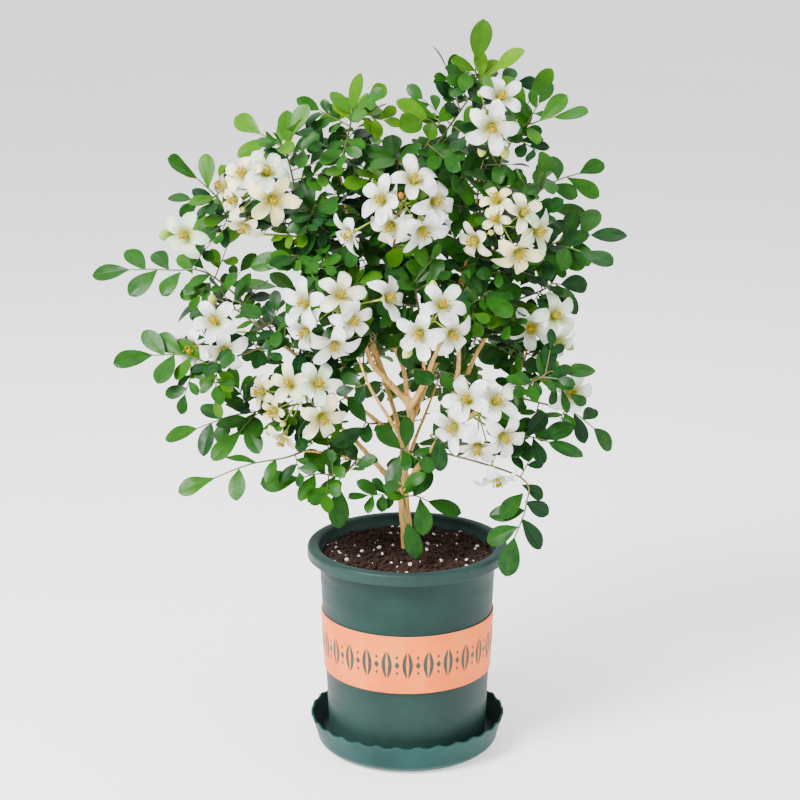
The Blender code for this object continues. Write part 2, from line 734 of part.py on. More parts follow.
def frond_leaflets(name, route, count, start):
    """The leaflets along a rachis, alternate, with one at its tip: the arguments of leaflet_choices."""
    rng = plan_random(name)
    spans = [(b - a).length for a, b in zip(route, route[1:])]
    for i in range(count):
        terminal = i == count - 1
        share = 1.0 if terminal else start + (1.0 - start) * i / (count - 0.6)
        left = share * sum(spans)
        k = 0
        while k < len(spans) - 1 and left > spans[k]:
            left -= spans[k]
            k += 1
        along = (route[k + 1] - route[k]).normalized()
        at = route[k] + along * (left - (ROOT_SINK if terminal else 0.0))
        size = (LEAF_NEAR_SIZE + LEAF_SIZE_GAIN * share) * rng.uniform(*LEAF_SIZE_SPREAD)
        spread = math.radians(LEAF_END_ANGLE if terminal else rng.uniform(*LEAF_ANGLES))
        yield (at, along, 1 if i % 2 else -1, size, size * rng.uniform(*LEAF_SIZE_SPREAD), spread,
               rng.uniform(-LEAF_TILT, LEAF_TILT), rng.uniform(*LEAF_DROOP))


def leaflet_choices(at, along, side, size, wide, spread, tilt, droop):
    """Placements to try for one leaflet, the plain one first: (place, (length, width, droop))."""
    normal = leaf_normal(at)
    across = along.cross(normal).normalized() * side
    for extra, roll in LEAF_TURNS:
        angle = spread + extra
        direction = along * math.cos(angle) + across * math.sin(angle)
        face = (normal + across * (tilt + roll)).normalized()
        yield (facing_matrix(at * MM, direction, face),
               (LEAF_LENGTH * size * MM, LEAF_WIDTH * wide * MM, droop))


def rachis_end(base, tip):
    """Where a frond's rachis ends, so that the leaflet at its end reaches to the tip."""
    away = tip - base
    return base + away.normalized() * max(away.length - END_LEAFLET, SHORTEST_RACHIS)


def fronds_of(name, base, fronds):
    """The fronds of a spray as (tip, leaflets); a bare tip grows side fronds as well."""
    if isinstance(fronds[0][0], tuple):
        return [(rachis_end(base, Vector(tip)), count) for tip, count in fronds]
    rng = plan_random(name + " fronds")
    tip = Vector(fronds[0])
    along = tip - base
    side = along.cross(Vector((0, 0, 1))).normalized() * rng.choice((-1, 1))
    found = [(rachis_end(base, tip), MAIN_LEAFLETS)]
    for turn, count in SIDES_BEHIND if base.y > BACK_FROM_Y else SIDES_IN_FRONT:
        lift = side.cross(along).normalized() * rng.uniform(-SIDE_LIFT, SIDE_LIFT)
        reach = side * turn * rng.uniform(*SIDE_REACH) + lift
        away = along * SIDE_FORWARD + reach * along.length
        found.append((rachis_end(base, base + away), count))
    return found


def stem_choices(name, base, tip, limbs):
    """Ways that a spray's main stem can take, the plain one first: (heading, route)."""
    rng = plan_random(name + " stem")
    for root in roots_for(base, limbs):
        seat, heading = seat_for(root, base)
        for wide in BEND_CHOICES:
            bend = Vector((rng.uniform(-1, 1), rng.uniform(-1, 1), rng.uniform(-0.3, 1))) * wide
            middle = base.lerp(tip, 0.5) + Vector((0, 0, FROND_ARCH)) + bend
            yield heading, smooth_route([seat, base + bend, middle, tip], STEM_STEPS)


def place_stem(name, base, tip, placed, limbs):
    """The first way for the spray's stem that crosses nothing: (route, mesh)."""
    for heading, route in stem_choices(name, base, tip, limbs):
        stem = thin_stem(route, limb_radii(TWIG_RADIUS, TWIG_TIP_RADIUS, len(route)), heading)
        if placed.clear(stem):
            return route, stem
    return None


def side_choices(name, index, root, tip):
    """Ways that a side frond's rachis can take from the stem to its tip."""
    rng = plan_random(f"{name} side {index}")
    for wide in SIDE_BENDS:
        bend = Vector((rng.uniform(-1, 1), rng.uniform(-1, 1), rng.uniform(0, 1))) * wide
        yield [root, root.lerp(tip, 0.5) + Vector((0, 0, FROND_ARCH)) + bend, tip + bend * 0.5]


def grow_spray(name, tips, route, stem, placed):
    """Side fronds and leaflets of one spray; what would cross another node is turned or left out."""
    pieces = [stem]
    lost = 0
    start = STEM_STEPS[0]
    rachises = [(route[start:], tips[0][1], MAIN_START)]
    for index, (tip, count) in enumerate(tips[1:]):
        for side_route in side_choices(name, index, route[start], tip):
            mesh = thin_stem(side_route, [RACHIS_RADIUS, RACHIS_RADIUS, TWIG_TIP_RADIUS])
            if placed.clear(mesh, skip=(name,)):
                pieces.append(mesh)
                placed.add(name, mesh)
                rachises.append((side_route, count, SIDE_START))
                break
        else:
            lost += count
    blades = Placed()
    for index, (way, count, first) in enumerate(rachises):
        for leaflet in frond_leaflets(f"{name} {index}", way, count, first):
            for place, size in leaflet_choices(*leaflet):
                mesh = blade_mesh(place, *size)
                if placed.clear(mesh, skip=(name,)) and blades.clear(mesh):
                    pieces.append(mesh)
                    blades.add(name, mesh)
                    break
            else:
                lost += 1
    placed.pieces.extend(blades.pieces)
    return pieces, lost


# Flowers

def bloom_mesh(place, petal, stalk):
    """A five-petalled flower facing +Z, with its pedicel down to the hub of its cluster."""
    length = petal * PETAL_LENGTH
    bm = bmesh.new()
    throat = bm.verts.new((0, 0, 0))
    up = Vector((0, 0, 1))
    neck = ring_of(bm, up * -NECK_DEPTH, up, NECK_RADIUS, 3)
    hub = ring_of(bm, up * -stalk, up, PEDICEL_RADIUS, 3)
    notches, tips = [], []
    for i in range(5):
        turn = 2 * math.pi * (i - 0.5) / 5
        away = Vector((math.cos(turn), math.sin(turn), 0))
        notches.append(bm.verts.new((away * NOTCH_OUT + up * NOTCH_UP) * length))
    for i in range(5):
        turn = 2 * math.pi * i / 5
        out = Vector((math.cos(turn), math.sin(turn), 0))
        side = Vector((-math.sin(turn), math.cos(turn), 0))
        middle = (out * PETAL_WIDE_AT + up * PETAL_CUP * SIDE_CUP) * length
        tips.append((
            bm.verts.new(middle - side * PETAL_HALF_WIDTH * length),
            bm.verts.new((out + up * PETAL_CUP) * length),
            bm.verts.new(middle + side * PETAL_HALF_WIDTH * length),
            bm.verts.new(middle - up * PETAL_DISH),
            bm.verts.new(middle - up * (PETAL_DISH + PETAL_THICKNESS))))
    for i, (left, tip, right, top, under) in enumerate(tips):
        before, after = notches[i], notches[(i + 1) % 5]
        for rib in (top, under):
            for a, b in ((before, left), (left, tip), (tip, right), (right, after)):
                bm.faces.new((rib, a, b))
        bm.faces.new((throat, before, top))
        bm.faces.new((throat, top, after))
    loop = [v for notch, tip in zip(notches, tips) for v in (notch, tip[4])]
    for i, (a, b) in enumerate(zip(loop, loop[1:] + loop[:1])):
        near, far = neck[i * 3 // 10], neck[(i + 1) * 3 // 10 % 3]
        bm.faces.new((a, b, near))
        if far != near:
            bm.faces.new((b, far, near))
    join_rings(bm, neck, hub)
    bm.faces.new(hub)
    mesh = mesh_of(bm, "bloom")
    mesh.transform(Matrix.Scale(MM, 4))
    mesh.transform(place)
    return mesh


def bud_mesh(place, share, stalk):
    """An unopened bud round the origin along +Z, with its pedicel down to the hub."""
    bm = bmesh.new()
    up = Vector((0, 0, 1))
    rings = [ring_of(bm, up * -stalk, up, PEDICEL_RADIUS, 4)]
    for height, radius in BUD_RINGS:
        rings.append(ring_of(bm, up * height * BUD_LENGTH * share, up, radius * BUD_RADIUS * share, 4))
    rings.append([bm.verts.new(up * 0.5 * BUD_LENGTH * share)])
    for ring, after in zip(rings, rings[1:]):
        join_rings(bm, ring, after)
    bm.faces.new(rings[0])
    mesh = mesh_of(bm, "bud")
    mesh.transform(Matrix.Scale(MM, 4))
    mesh.transform(place)
    return mesh


def hub_mesh(at):
    """The knot at the end of a cluster's stalk, where its pedicels meet."""
    bm = bmesh.new()
    bmesh.ops.create_uvsphere(bm, u_segments=4, v_segments=2, radius=HUB_RADIUS * MM)
    mesh = mesh_of(bm, "hub")
    mesh.transform(Matrix.Translation(at * MM))
    return mesh


def cluster_heads(umbel, right, up, out, spin, mirrored, scale):
    """(kind, share, direction, reach, twist) of each bloom and bud, seen from the umbel's hub."""
    dome = DOME_RADIUS * scale
    blooms, buds = UMBELS[umbel]
    for kind, entries in (("bloom", blooms), ("bud", buds)):
        for i, (angle, distance, share) in enumerate(entries):
            turn = math.radians(spin - angle if mirrored else spin + angle)
            away = right * math.cos(turn) + up * math.sin(turn)
            reach = max(dome, distance * scale / WIDEST_LEAN)
            lean = math.asin(distance * scale / reach)
            direction = out * math.cos(lean) + away * math.sin(lean)
            yield kind, share, direction, reach, math.radians(TWIST_STEP * i)


def head_place(hub, direction, reach, twist):
    """The placement of a bloom or bud at the end of its pedicel, facing away from the hub."""
    side = Vector((0, 0, 1)).cross(direction).normalized()
    turn = Matrix((side, direction.cross(side), direction)).transposed().to_4x4()
    return Matrix.Translation((hub + direction * reach) * MM) @ turn @ Matrix.Rotation(twist, 4, "Z")


def cluster_choices(spec, limbs):
    """Ways to hang a cluster on the wood, the plain one first: (seat, heading, hub, heads)."""
    name, umbel, centre, facing, spin, mirrored, scale = spec
    out = Vector(facing).normalized()
    right = Vector((0, 0, 1)).cross(out).normalized()
    up = out.cross(right)
    heads = list(cluster_heads(umbel, right, up, out, spin, mirrored, scale))
    for forward in FORWARD_CHOICES:
        hub = Vector(centre) + out * (forward - DOME_RADIUS * scale)
        for root in roots_for(hub, limbs):
            yield *seat_for(root, hub), hub, heads


def place_cluster(spec, placed, limbs):
    """The meshes of a cluster, hung on the wood the first way that crosses nothing."""
    best = None
    for seat, heading, hub, heads in cluster_choices(spec, limbs):
        pieces = [thin_stem([seat, hub], [STALK_RADIUS] * 2, heading), hub_mesh(hub)]
        for kind, share, direction, reach, twist in heads:
            build = bloom_mesh if kind == "bloom" else bud_mesh
            pieces.append(build(head_place(hub, direction, reach, twist), share, reach))
        crossed = sum(not placed.clear(mesh) for mesh in pieces)
        if best is None or crossed < best[0]:
            best = crossed, pieces
        if crossed == 0:
            break
    if best[0]:
        print(spec[0], "crosses a placed node with", best[0], "pieces")
    return best[1]


def main():
    clear_scene()
    plant = collection_of("orange_jasmine_bonsai")
    green_plastic = plain_material("green_plastic", (0.075, 0.19, 0.165), 0.42)
    salmon = plain_material("salmon_band", (0.86, 0.47, 0.31), 0.5)
    peat = plain_material("potting_mix", (0.045, 0.028, 0.02), 0.95)
    bark = plain_material("bark", (0.56, 0.39, 0.19), 0.75)
    leaf = plain_material("leaf", (0.07, 0.22, 0.03), 0.35)
    petal = plain_material("petal", (0.92, 0.92, 0.86), 0.55)

    pot = build_pot(plant, green_plastic)
    saucer = build_saucer(plant, green_plastic)
    build_band(plant, salmon)
    soil = build_soil(plant, peat)

    bpy.context.view_layer.update()
    graph = bpy.context.evaluated_depsgraph_get()
    placed = Placed()
    for made in (pot, saucer, soil):
        placed.add(made.name, bpy.data.meshes.new_from_object(made.evaluated_get(graph)))
    wood = limb_meshes()
    for mesh in wood[1:]:
        placed.add(WOOD, mesh)
    limbs = limb_points()
    bodies = {}
    for spec in CLUSTERS:
        pieces = place_cluster(spec, placed, limbs)
        bodies[spec[0]] = (pieces, petal)
        for mesh in pieces:
            placed.add(spec[0], mesh)
    stems = []
    for name, base, fronds in SPRAYS:
        tips = fronds_of(name, Vector(base), fronds)
        found = place_stem(name, Vector(base), tips[0][0], placed, limbs)
        if found is None:
            print("no clear way for", name)
            continue
        route, stem = found
        placed.add(name, stem)
        stems.append((name, tips, route, stem))
    lost = 0
    for name, tips, route, stem in stems:
        pieces, left_out = grow_spray(name, tips, route, stem, placed)
        bodies[name] = (pieces, leaf)
        lost += left_out
    print("leaflets left out to stay clear:", lost)
    fuse(WOOD, wood, plant, bark)
    for name, (pieces, material) in bodies.items():
        fuse(name, pieces, plant, material)


main()
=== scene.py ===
"""Looks of an orange jasmine bonsai in its plastic pot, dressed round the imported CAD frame.

Lengths in the tables and dataclasses are millimetres; Form.mesh turns them to metres.
-Y is the front, and the growing plan is the one that the part's source follows.
"""

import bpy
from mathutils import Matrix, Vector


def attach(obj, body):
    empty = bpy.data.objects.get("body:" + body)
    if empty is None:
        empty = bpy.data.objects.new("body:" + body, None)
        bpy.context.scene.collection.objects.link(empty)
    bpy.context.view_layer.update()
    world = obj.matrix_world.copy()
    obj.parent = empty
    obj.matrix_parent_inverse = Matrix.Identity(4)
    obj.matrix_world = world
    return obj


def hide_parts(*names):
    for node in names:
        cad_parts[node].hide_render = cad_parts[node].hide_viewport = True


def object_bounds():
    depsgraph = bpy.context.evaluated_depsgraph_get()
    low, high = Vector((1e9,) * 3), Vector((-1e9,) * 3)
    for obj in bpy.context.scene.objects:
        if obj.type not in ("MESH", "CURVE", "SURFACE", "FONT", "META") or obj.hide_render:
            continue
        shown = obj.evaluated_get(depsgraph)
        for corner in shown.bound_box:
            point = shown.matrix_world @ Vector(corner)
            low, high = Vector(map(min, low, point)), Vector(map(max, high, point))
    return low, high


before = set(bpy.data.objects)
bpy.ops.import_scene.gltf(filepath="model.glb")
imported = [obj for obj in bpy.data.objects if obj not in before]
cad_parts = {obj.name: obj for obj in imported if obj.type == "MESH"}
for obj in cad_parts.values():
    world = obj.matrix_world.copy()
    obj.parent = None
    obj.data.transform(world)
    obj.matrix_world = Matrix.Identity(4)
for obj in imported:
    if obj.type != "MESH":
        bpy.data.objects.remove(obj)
CAD_BOX = [list(corner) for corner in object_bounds()]

import logging
import random
from collections.abc import Callable, Iterable, Iterator, Sequence
from dataclasses import dataclass, field
from enum import Enum
from math import asin, cos, hypot, pi, radians, sin, sqrt

import bpy
from mathutils import Matrix, Vector, noise
from mathutils.bvhtree import BVHTree
from mathutils.kdtree import KDTree

MM = 0.001
BODY = "root"
UP = Vector((0, 0, 1))
PLAN_SEED = 11
LOOK_SEED = 5
CROWN_MARGIN = 24
SAME_CORNER = 0.06
SEAT_GAP = 0.3
SRGB_LINEAR = [((c / 255 + 0.055) / 1.055) ** 2.4 if c > 10 else c / 3294 for c in range(256)]
Triple = tuple[float, float, float]
Colour = tuple[float, float, float, float]
Span = tuple[float, float, float, float]
Pair = tuple[float, float]
Floats = Sequence[float]
Route = Sequence[Vector]
Ends = tuple[Vector, Vector]
Piece = bpy.types.Object
Node = bpy.types.Node
Socket = bpy.types.NodeSocket
Rng = random.Random
log = logging.getLogger("jasmine")



class Slot(Enum):
    """The material slots."""

    POT = "green_plastic"
    SAUCER = "saucer_plastic"
    BAND = "salmon_band"
    SOIL = "potting_mix"
    BARK = "bark"
    LEAF = "leaf"
    PETAL = "petal"


class Tint(Enum):
    """How the petals of a cluster are tinted: from pale mint through white to cream."""

    MINT = -0.8
    WHITE = 0
    CREAM = 0.8


class Umbel(Enum):
    """Face-on layouts of a cluster: (angle, distance, share) of its blooms, then of its buds."""

    RING = (
        ((169, 17, 1), (66, 19, 1), (4, 23, 1), (304, 24, 1.05), (239, 19, 0.9), (209, 47, 0.95)),
        ((110, 7, 0.55),))
    TRIO = (
        ((206, 15, 1), (326, 13, 1), (76, 15, 0.95)),
        ((226, 33, 0.85), (94, 29, 0.8)))
    CREAM = (
        ((342, 19, 1.05), (112, 14, 0.85), (174, 24, 0.7), (208, 15, 0.6), (256, 28, 0.85),
         (51, 20, 0.95)),
        ((246, 17, 0.55),))
    PAIR = (
        ((262, 12, 1.1), (61, 12, 0.9)),
        ((288, 33, 0.95), (256, 31, 0.8), (124, 17, 0.6)))
    SINGLE = (
        ((0, 0, 1),),
        ((185, 20, 1),))


@dataclass(frozen=True)
class Limb:
    """A limb of the wood: radius at its start and end, and the points of its route."""

    start: float
    end: float
    route: tuple[Triple, ...]

    def points(self) -> list[Vector]:
        """Returns the route's points."""
        return [Vector(point) for point in self.route]

    def radii(self) -> list[float]:
        """Returns the radius at each point of the route."""
        return taper(self.start, self.end, len(self.route))


@dataclass(frozen=True)
class ClusterPlan:
    """Where a flower cluster hangs and which way it faces."""

    place: str
    umbel: Umbel
    centre: Triple
    facing: Triple
    tint: Tint = Tint.WHITE
    pale_from: int = 9
    spin: float = 0
    scale: float = 1
    mirrored: bool = False

    @property
    def node(self) -> str:
        """Returns the name of its CAD node."""
        return "flowers_" + self.place


@dataclass(frozen=True)
class SprayPlan:
    """Where a leafy spray begins, its fronds as (tip, leaflets) or one bare tip, and its youth."""

    place: str
    base: Triple
    fronds: tuple
    youth: float = 0.25

    @property
    def node(self) -> str:
        """Returns the name of its CAD node."""
        return "spray_" + self.place


# The trunk comes first, then the main stem and the limbs.
LIMBS = [Limb(*row) for row in (
    (6, 4.4, ((0, 8, 112), (0, 8, 150), (0, 8, 173), (-1, 7, 192), (-3, 5, 212), (-4, 4, 229))),
    (4, 2.9, ((-3, 5, 220), (-3, 2, 246), (-2, 1, 264), (3, 0, 286), (-1, 0, 309))),
    (3.5, 1.3, ((-4, 5, 219), (9, 2, 245), (18, 0, 257), (32, -2, 284), (42, -2, 331), (42, 0, 366),
        (46, 4, 405))),
    (2.3, 1.2, ((29, -1, 278), (44, 4, 308), (54, 6, 336), (68, 8, 362), (79, 10, 388),
        (92, 12, 425))),
    (2.2, 1.1, ((22, -1, 264), (50, -4, 290), (74, -8, 308), (90, 0, 322), (98, 14, 336),
        (102, 26, 348))),
    (3, 1.2, ((-4, 5, 222), (-13, 3, 233), (-29, 0, 252), (-46, 2, 271), (-62, 4, 284),
        (-88, 6, 300))),
    (1.8, 1, ((-27, 0, 250), (-46, -4, 255), (-70, -10, 262), (-92, -12, 264))),
    (2.5, 1.1, ((-2, 1, 260), (-14, -2, 276), (-25, -4, 287), (-56, -6, 313), (-84, -8, 338),
        (-112, -8, 362))),
    (2.8, 1.1, ((0, 0, 302), (-19, -4, 325), (-29, -8, 337), (-34, -10, 351), (-42, -12, 375),
        (-56, -8, 405), (-78, -2, 438), (-98, 4, 470))),
    (1.9, 1, ((-17, -3, 322), (-25, 4, 342), (-31, 14, 360), (-36, 24, 390), (-46, 34, 430),
        (-56, 38, 490))),
    (2.2, 1, ((0, 0, 301), (-3, 6, 328), (-12, 14, 350), (-18, 20, 386), (-10, 18, 440),
        (0, 12, 492))),
    (2.6, 1, ((1, 0, 296), (15, -4, 323), (20, -6, 338), (27, -8, 356), (38, -6, 392),
        (50, 2, 430), (60, 8, 500))),
    (1.7, 1, ((15, -4, 322), (13, -10, 340), (12, -16, 356), (10, -26, 382))),
    (2.4, 1, ((-3, 1, 256), (-12, 30, 290), (-30, 70, 330), (-52, 100, 380), (-66, 116, 424))),
    (2.4, 1, ((2, 0, 282), (20, 38, 318), (44, 78, 356), (70, 102, 400), (84, 112, 434))),
    (2, 1, ((-4, 5, 230), (4, 38, 252), (16, 76, 272), (28, 106, 296))),
    (2, 1, ((-2, 1, 264), (-14, -26, 294), (-30, -46, 326), (-40, -58, 356))),
    (2, 1, ((9, 2, 244), (24, -22, 268), (40, -44, 296), (50, -58, 324))),
)]


CLUSTERS = [ClusterPlan(*row) for row in (
    ("top", Umbel.PAIR, (68, -22, 548), (0.1, -1, 0.2)),
    ("upper_centre", Umbel.RING, (-3, -48, 478), (0, -1, 0.15)),
    ("upper_left", Umbel.CREAM, (-127, -24, 484), (-0.25, -1, 0.15), Tint.CREAM, 5, 0, 0.95),
    ("upper_right", Umbel.CREAM, (84, -38, 456), (0.2, -1, 0.1), Tint.CREAM, 5, -58),
    ("far_left", Umbel.SINGLE, (-180, -10, 446), (-0.3, -1, 0.1), Tint.MINT),
    ("centre_left", Umbel.RING, (-64, -62, 392), (-0.1, -1, 0.1), Tint.WHITE, 9, 224, 1, True),
    ("left", Umbel.TRIO, (-161, -28, 362), (-0.2, -1, 0), Tint.WHITE, 9, 0, 1.05),
    ("centre", Umbel.TRIO, (24, -66, 384), (0.1, -1, 0.1)),
    ("right", Umbel.TRIO, (116, -4, 366), (0.3, -1, 0), Tint.MINT, 9, 96, 0.9),
    ("lower_left", Umbel.CREAM, (-92, -44, 312), (-0.15, -1, 0), Tint.CREAM, 5, -8, 1.2),
    ("lower_right", Umbel.RING, (62, -60, 302), (0.15, -1, 0), Tint.WHITE, 9, 131, 1, True),
    ("far_right", Umbel.SINGLE, (133, -22, 318), (0.3, -1, 0), Tint.MINT, 9, 240, 0.95),
    ("back", Umbel.TRIO, (14, 132, 450), (0.1, 1, 0.25), Tint.WHITE, 9, 30),
)]

SPRAYS = [SprayPlan(*row) for row in (
    ("far_left", (-160, 18, 405), (((-261, 30, 412), 7),), 0.28),
    ("left", (-156, -26, 344), (((-235, -45, 357), 7),), 0.35),
    ("left_lower", (-120, 10, 293), (((-206, 30, 264), 6), ((-158, -28, 268), 4))),
    ("lower_left", (-102, -26, 262), (((-186, -55, 245), 4),), 0.35),
    ("low_left", (-56, -12, 242), (((-118, -26, 243), 4), ((-62, -30, 208), 1)), 0.35),
    ("front_low", (-4, -20, 226), (((5, -54, 186), 1), ((46, -28, 220), 3))),
    ("right_drooping", (78, -56, 258), (((92, -66, 176), 7),), 0.1),
    ("right_low", (83, -30, 280), (((141, -60, 283), 6),), 0.12),
    ("right_outer", (128, 14, 294), (((181, 40, 256), 4),), 0.15),
    ("right_mid", (106, -36, 332), (((152, -34, 346), 5),), 0.15),
    ("right_small", (113, 30, 392), (((155, 50, 400), 5),), 0.2),
    ("far_right", (112, 8, 432), (((178, 0, 452), 6), ((157, -50, 438), 3)), 0.2),
    ("upper_right", (104, 8, 476), (((166, 45, 499), 5), ((113, -40, 518), 2)), 0.28),
    ("top_right", (86, 6, 524), (((136, -40, 556), 4), ((112, 20, 580), 4)), 0.5),
    ("apex", (54, 20, 560), (((57, 6, 612), 4), ((86, -12, 598), 3)), 0.8),
    ("top_middle", (24, 4, 532), (((14, 20, 561), 4), ((-2, -45, 550), 3)), 0.6),
    ("top_left", (-46, 6, 536), (((-42, 0, 576), 5), ((-70, 45, 547), 3)), 0.7),
    ("upper_left", (-98, 6, 508), (((-141, 35, 539), 4), ((-88, -40, 551), 4)), 0.65),
    ("left_upper", (-142, 4, 456), (((-184, -35, 515), 5), ((-185, 50, 450), 3)), 0.4),
    ("left_mid", (-138, 2, 384), (((-196, 55, 377), 5), ((-132, -30, 402), 2))),
    ("inner_upper_left", (-78, -4, 462), ((-62, -24, 492),), 0.2),
    ("inner_top", (-8, 4, 500), ((-20, -16, 526),), 0.35),
    ("inner_upper_right", (44, 0, 486), ((38, -26, 512),), 0.3),
    ("inner_right", (92, 8, 444), ((104, 10, 488),)),
    ("inner_right_mid", (60, -14, 394), ((80, -40, 412),)),
    ("inner_centre", (6, -20, 404), ((0, -52, 428),)),
    ("inner_left_mid", (-86, -10, 424), ((-104, -40, 444),)),
    ("low_centre", (-4, -16, 266), (((-16, -48, 252), 4), ((20, -44, 268), 3))),
    ("low_right", (28, -26, 276), (((52, -52, 264), 4),)),
    ("low_left_inner", (-32, -14, 288), (((-52, -38, 280), 4),)),
    ("mid_left", (-52, -10, 334), (((-46, -40, 340), 4), ((-66, -22, 350), 3))),
    ("centre_low", (4, -22, 334), (((8, -54, 336), 4),)),
    ("centre_left", (-26, -8, 360), ((-16, -38, 372),)),
    ("back_left_upper", (-74, 116, 432), ((-104, 156, 470),), 0.3),
    ("back_left", (-70, 88, 366), ((-140, 120, 386),), 0.35),
    ("back_middle", (6, 108, 392), ((0, 170, 402),)),
    ("back_right", (90, 108, 446), ((126, 136, 484),), 0.35),
    ("back_right_low", (72, 76, 342), ((130, 108, 342),)),
    ("back_low", (28, 108, 300), ((22, 164, 290),)),
    ("back_left_low", (-38, 72, 318), ((-100, 112, 308),)),
    ("back_upper", (-26, 46, 488), ((-30, 96, 528),), 0.4),
    ("back_top", (40, 36, 492), ((56, 80, 540),), 0.45),
)]


# Small sums

def taper(start: float, end: float, count: int) -> list[float]:
    """Returns even steps from one value to another, both included."""
    return [start + (end - start) * i / (count - 1) for i in range(count)]


def smooth_step(value: float) -> float:
    """Returns a share eased from 0 to 1, where what lies outside them is cut off."""
    held = min(1, max(0, value))
    return held * held * (3 - 2 * held)


def turns(count: int) -> list[float]:
    """Returns even angles round a circle."""
    return [2 * pi * k / count for k in range(count)]


def polar(radius: float, turn: float, z: float = 0) -> Vector:
    """Returns the point at a distance from the Z axis, an angle round it and a height."""
    return Vector((radius * cos(turn), radius * sin(turn), z))


def plan_random(name: str) -> Rng:
    """Returns the plan's random stream for a named thing, as in the part's source."""
    return Rng(f"{PLAN_SEED} {name}")


def look_random(name: str) -> Rng:
    """Returns a random stream for looks alone, so that the plan's draws keep their order."""
    return Rng(f"{LOOK_SEED} look {name}")


def tones(*codes: str) -> list[Colour]:
    """Returns screen colours, given as RRGGBB, as the linear ones that a shader takes."""
    levels = [[SRGB_LINEAR[level] for level in bytes.fromhex(code)] for code in codes]
    return [(red, green, blue, 1) for red, green, blue in levels]


# Finishes

@dataclass(frozen=True)
class Finish:
    """A finish in one of the slots, with short calls for the nodes that make it up."""

    name: str
    slot: Slot

    def lay_out(self) -> None:
        """Adds the finish's nodes; each kind of finish has its own."""
        raise NotImplementedError

    def material(self) -> bpy.types.Material:
        """Returns the finish's material, made the first time that it is asked for."""
        made = bpy.data.materials.get(self.name)
        if made is None:
            made = bpy.data.materials.new(self.name)
            made.use_nodes = True
            self.lay_out()
        return made

    def nodes(self) -> bpy.types.Nodes:
        """Returns the nodes of the finish's material."""
        return bpy.data.materials[self.name].node_tree.nodes

    def wire(self, node: Node, **values: object) -> Node:
        """Sets up a node.

        Args:
            node: The node.
            values: A socket or a plain value for each input, by its name with an underscore for
                each space, or by its number after an underscore; and the node's own settings.

        Returns:
            The node.
        """
        for name, value in values.items():
            if hasattr(node, name):
                setattr(node, name, value)
                continue
            number = name[0] == "_"
            socket = node.inputs[int(name[1:]) if number else name.replace("_", " ")]
            if isinstance(value, Socket):
                socket.id_data.links.new(value, socket)
            else:
                socket.default_value = value
        return node

    def add(self, kind: str, **values: object) -> Node:
        """Returns a new node, set up."""
        return self.wire(self.nodes().new("ShaderNode" + kind), **values)

    def coat(self, **inputs: object) -> None:
        """Sets up the shader."""
        self.wire(self.nodes()["Principled BSDF"], **inputs)

    def at(self) -> Socket:
        """Returns the object's coordinates."""
        return self.add("TexCoord").outputs["Object"]

    def stretched(self, x: float, y: float, z: float) -> Socket:
        """Returns the object's coordinates scaled along each axis."""
        return self.add("Mapping", Vector=self.at(), Scale=(x, y, z)).outputs["Vector"]

    def noise(self, size: float, detail: float = 3, at: Socket | None = None,
              distortion: float = 0) -> Socket:
        """Returns noise, about 0.25 to 0.75, with lumps of a size in millimetres."""
        return self.add("TexNoise", Vector=at or self.at(), Scale=1 / (size * MM),
                        Detail=detail, Distortion=distortion).outputs["Fac"]

    def span(self, factor: Socket, low: float, high: float, start: float, end: float) -> Socket:
        """Returns low to high mapped onto start to end, and held inside them."""
        return self.add("MapRange", Value=factor, From_Min=low, From_Max=high, To_Min=start,
                        To_Max=end).outputs["Result"]

    def patches(self, size: float, low: float, high: float, start: float = 0,
                end: float = 1, detail: float = 3) -> Socket:
        """Returns noise of a size whose low to high is mapped onto start to end."""
        return self.span(self.noise(size, detail), low, high, start, end)

    def shade(self) -> Sequence[Socket]:
        """Returns the three parts of the shade that the mesh keeps."""
        return self.add("SeparateXYZ", Vector=self.kept("shade", "Vector")).outputs[:]

    def kept(self, name: str, output: str) -> Socket:
        """Returns a value that the mesh keeps."""
        return self.add("Attribute", attribute_name=name).outputs[output]

    def calc(self, operation: str, a: object, b: object = 0) -> Socket:
        """Returns the result of a Math node."""
        return self.add("Math", operation=operation, _0=a, _1=b).outputs[0]

    def times(self, a: object, b: object) -> Socket:
        """Returns the product of two values."""
        return self.calc("MULTIPLY", a, b)

    def plus(self, a: object, b: object) -> Socket:
        """Returns the sum of two values."""
        return self.calc("ADD", a, b)

    def mix(self, factor: Socket, a: object, b: object) -> Socket:
        """Returns two colours mixed; the factor is the share of the second."""
        return self.add("Mix", data_type="RGBA", _0=factor, _6=a, _7=b).outputs[2]

    def ramp(self, factor: Socket, *stops: tuple[float, Colour]) -> Socket:
        """Runs a value through a colour ramp.

        Args:
            factor: The value.
            stops: Place and colour of each stop.

        Returns:
            The colour.
        """
        node = self.add("ValToRGB", Fac=factor)
        knobs = node.color_ramp.elements
        while len(knobs) < len(stops):
            knobs.new(1)
        for knob, (place, colour) in zip(knobs, stops):
            knob.position, knob.color = place, colour
        return node.outputs["Color"]

    def bump(self, height: Socket, depth: float, strength: float) -> None:
        """Bumps the surface by a pattern of a depth in millimetres."""
        node = self.add("Bump", Distance=depth * MM, Strength=strength, Height=height)
        self.coat(Normal=node.outputs["Normal"])


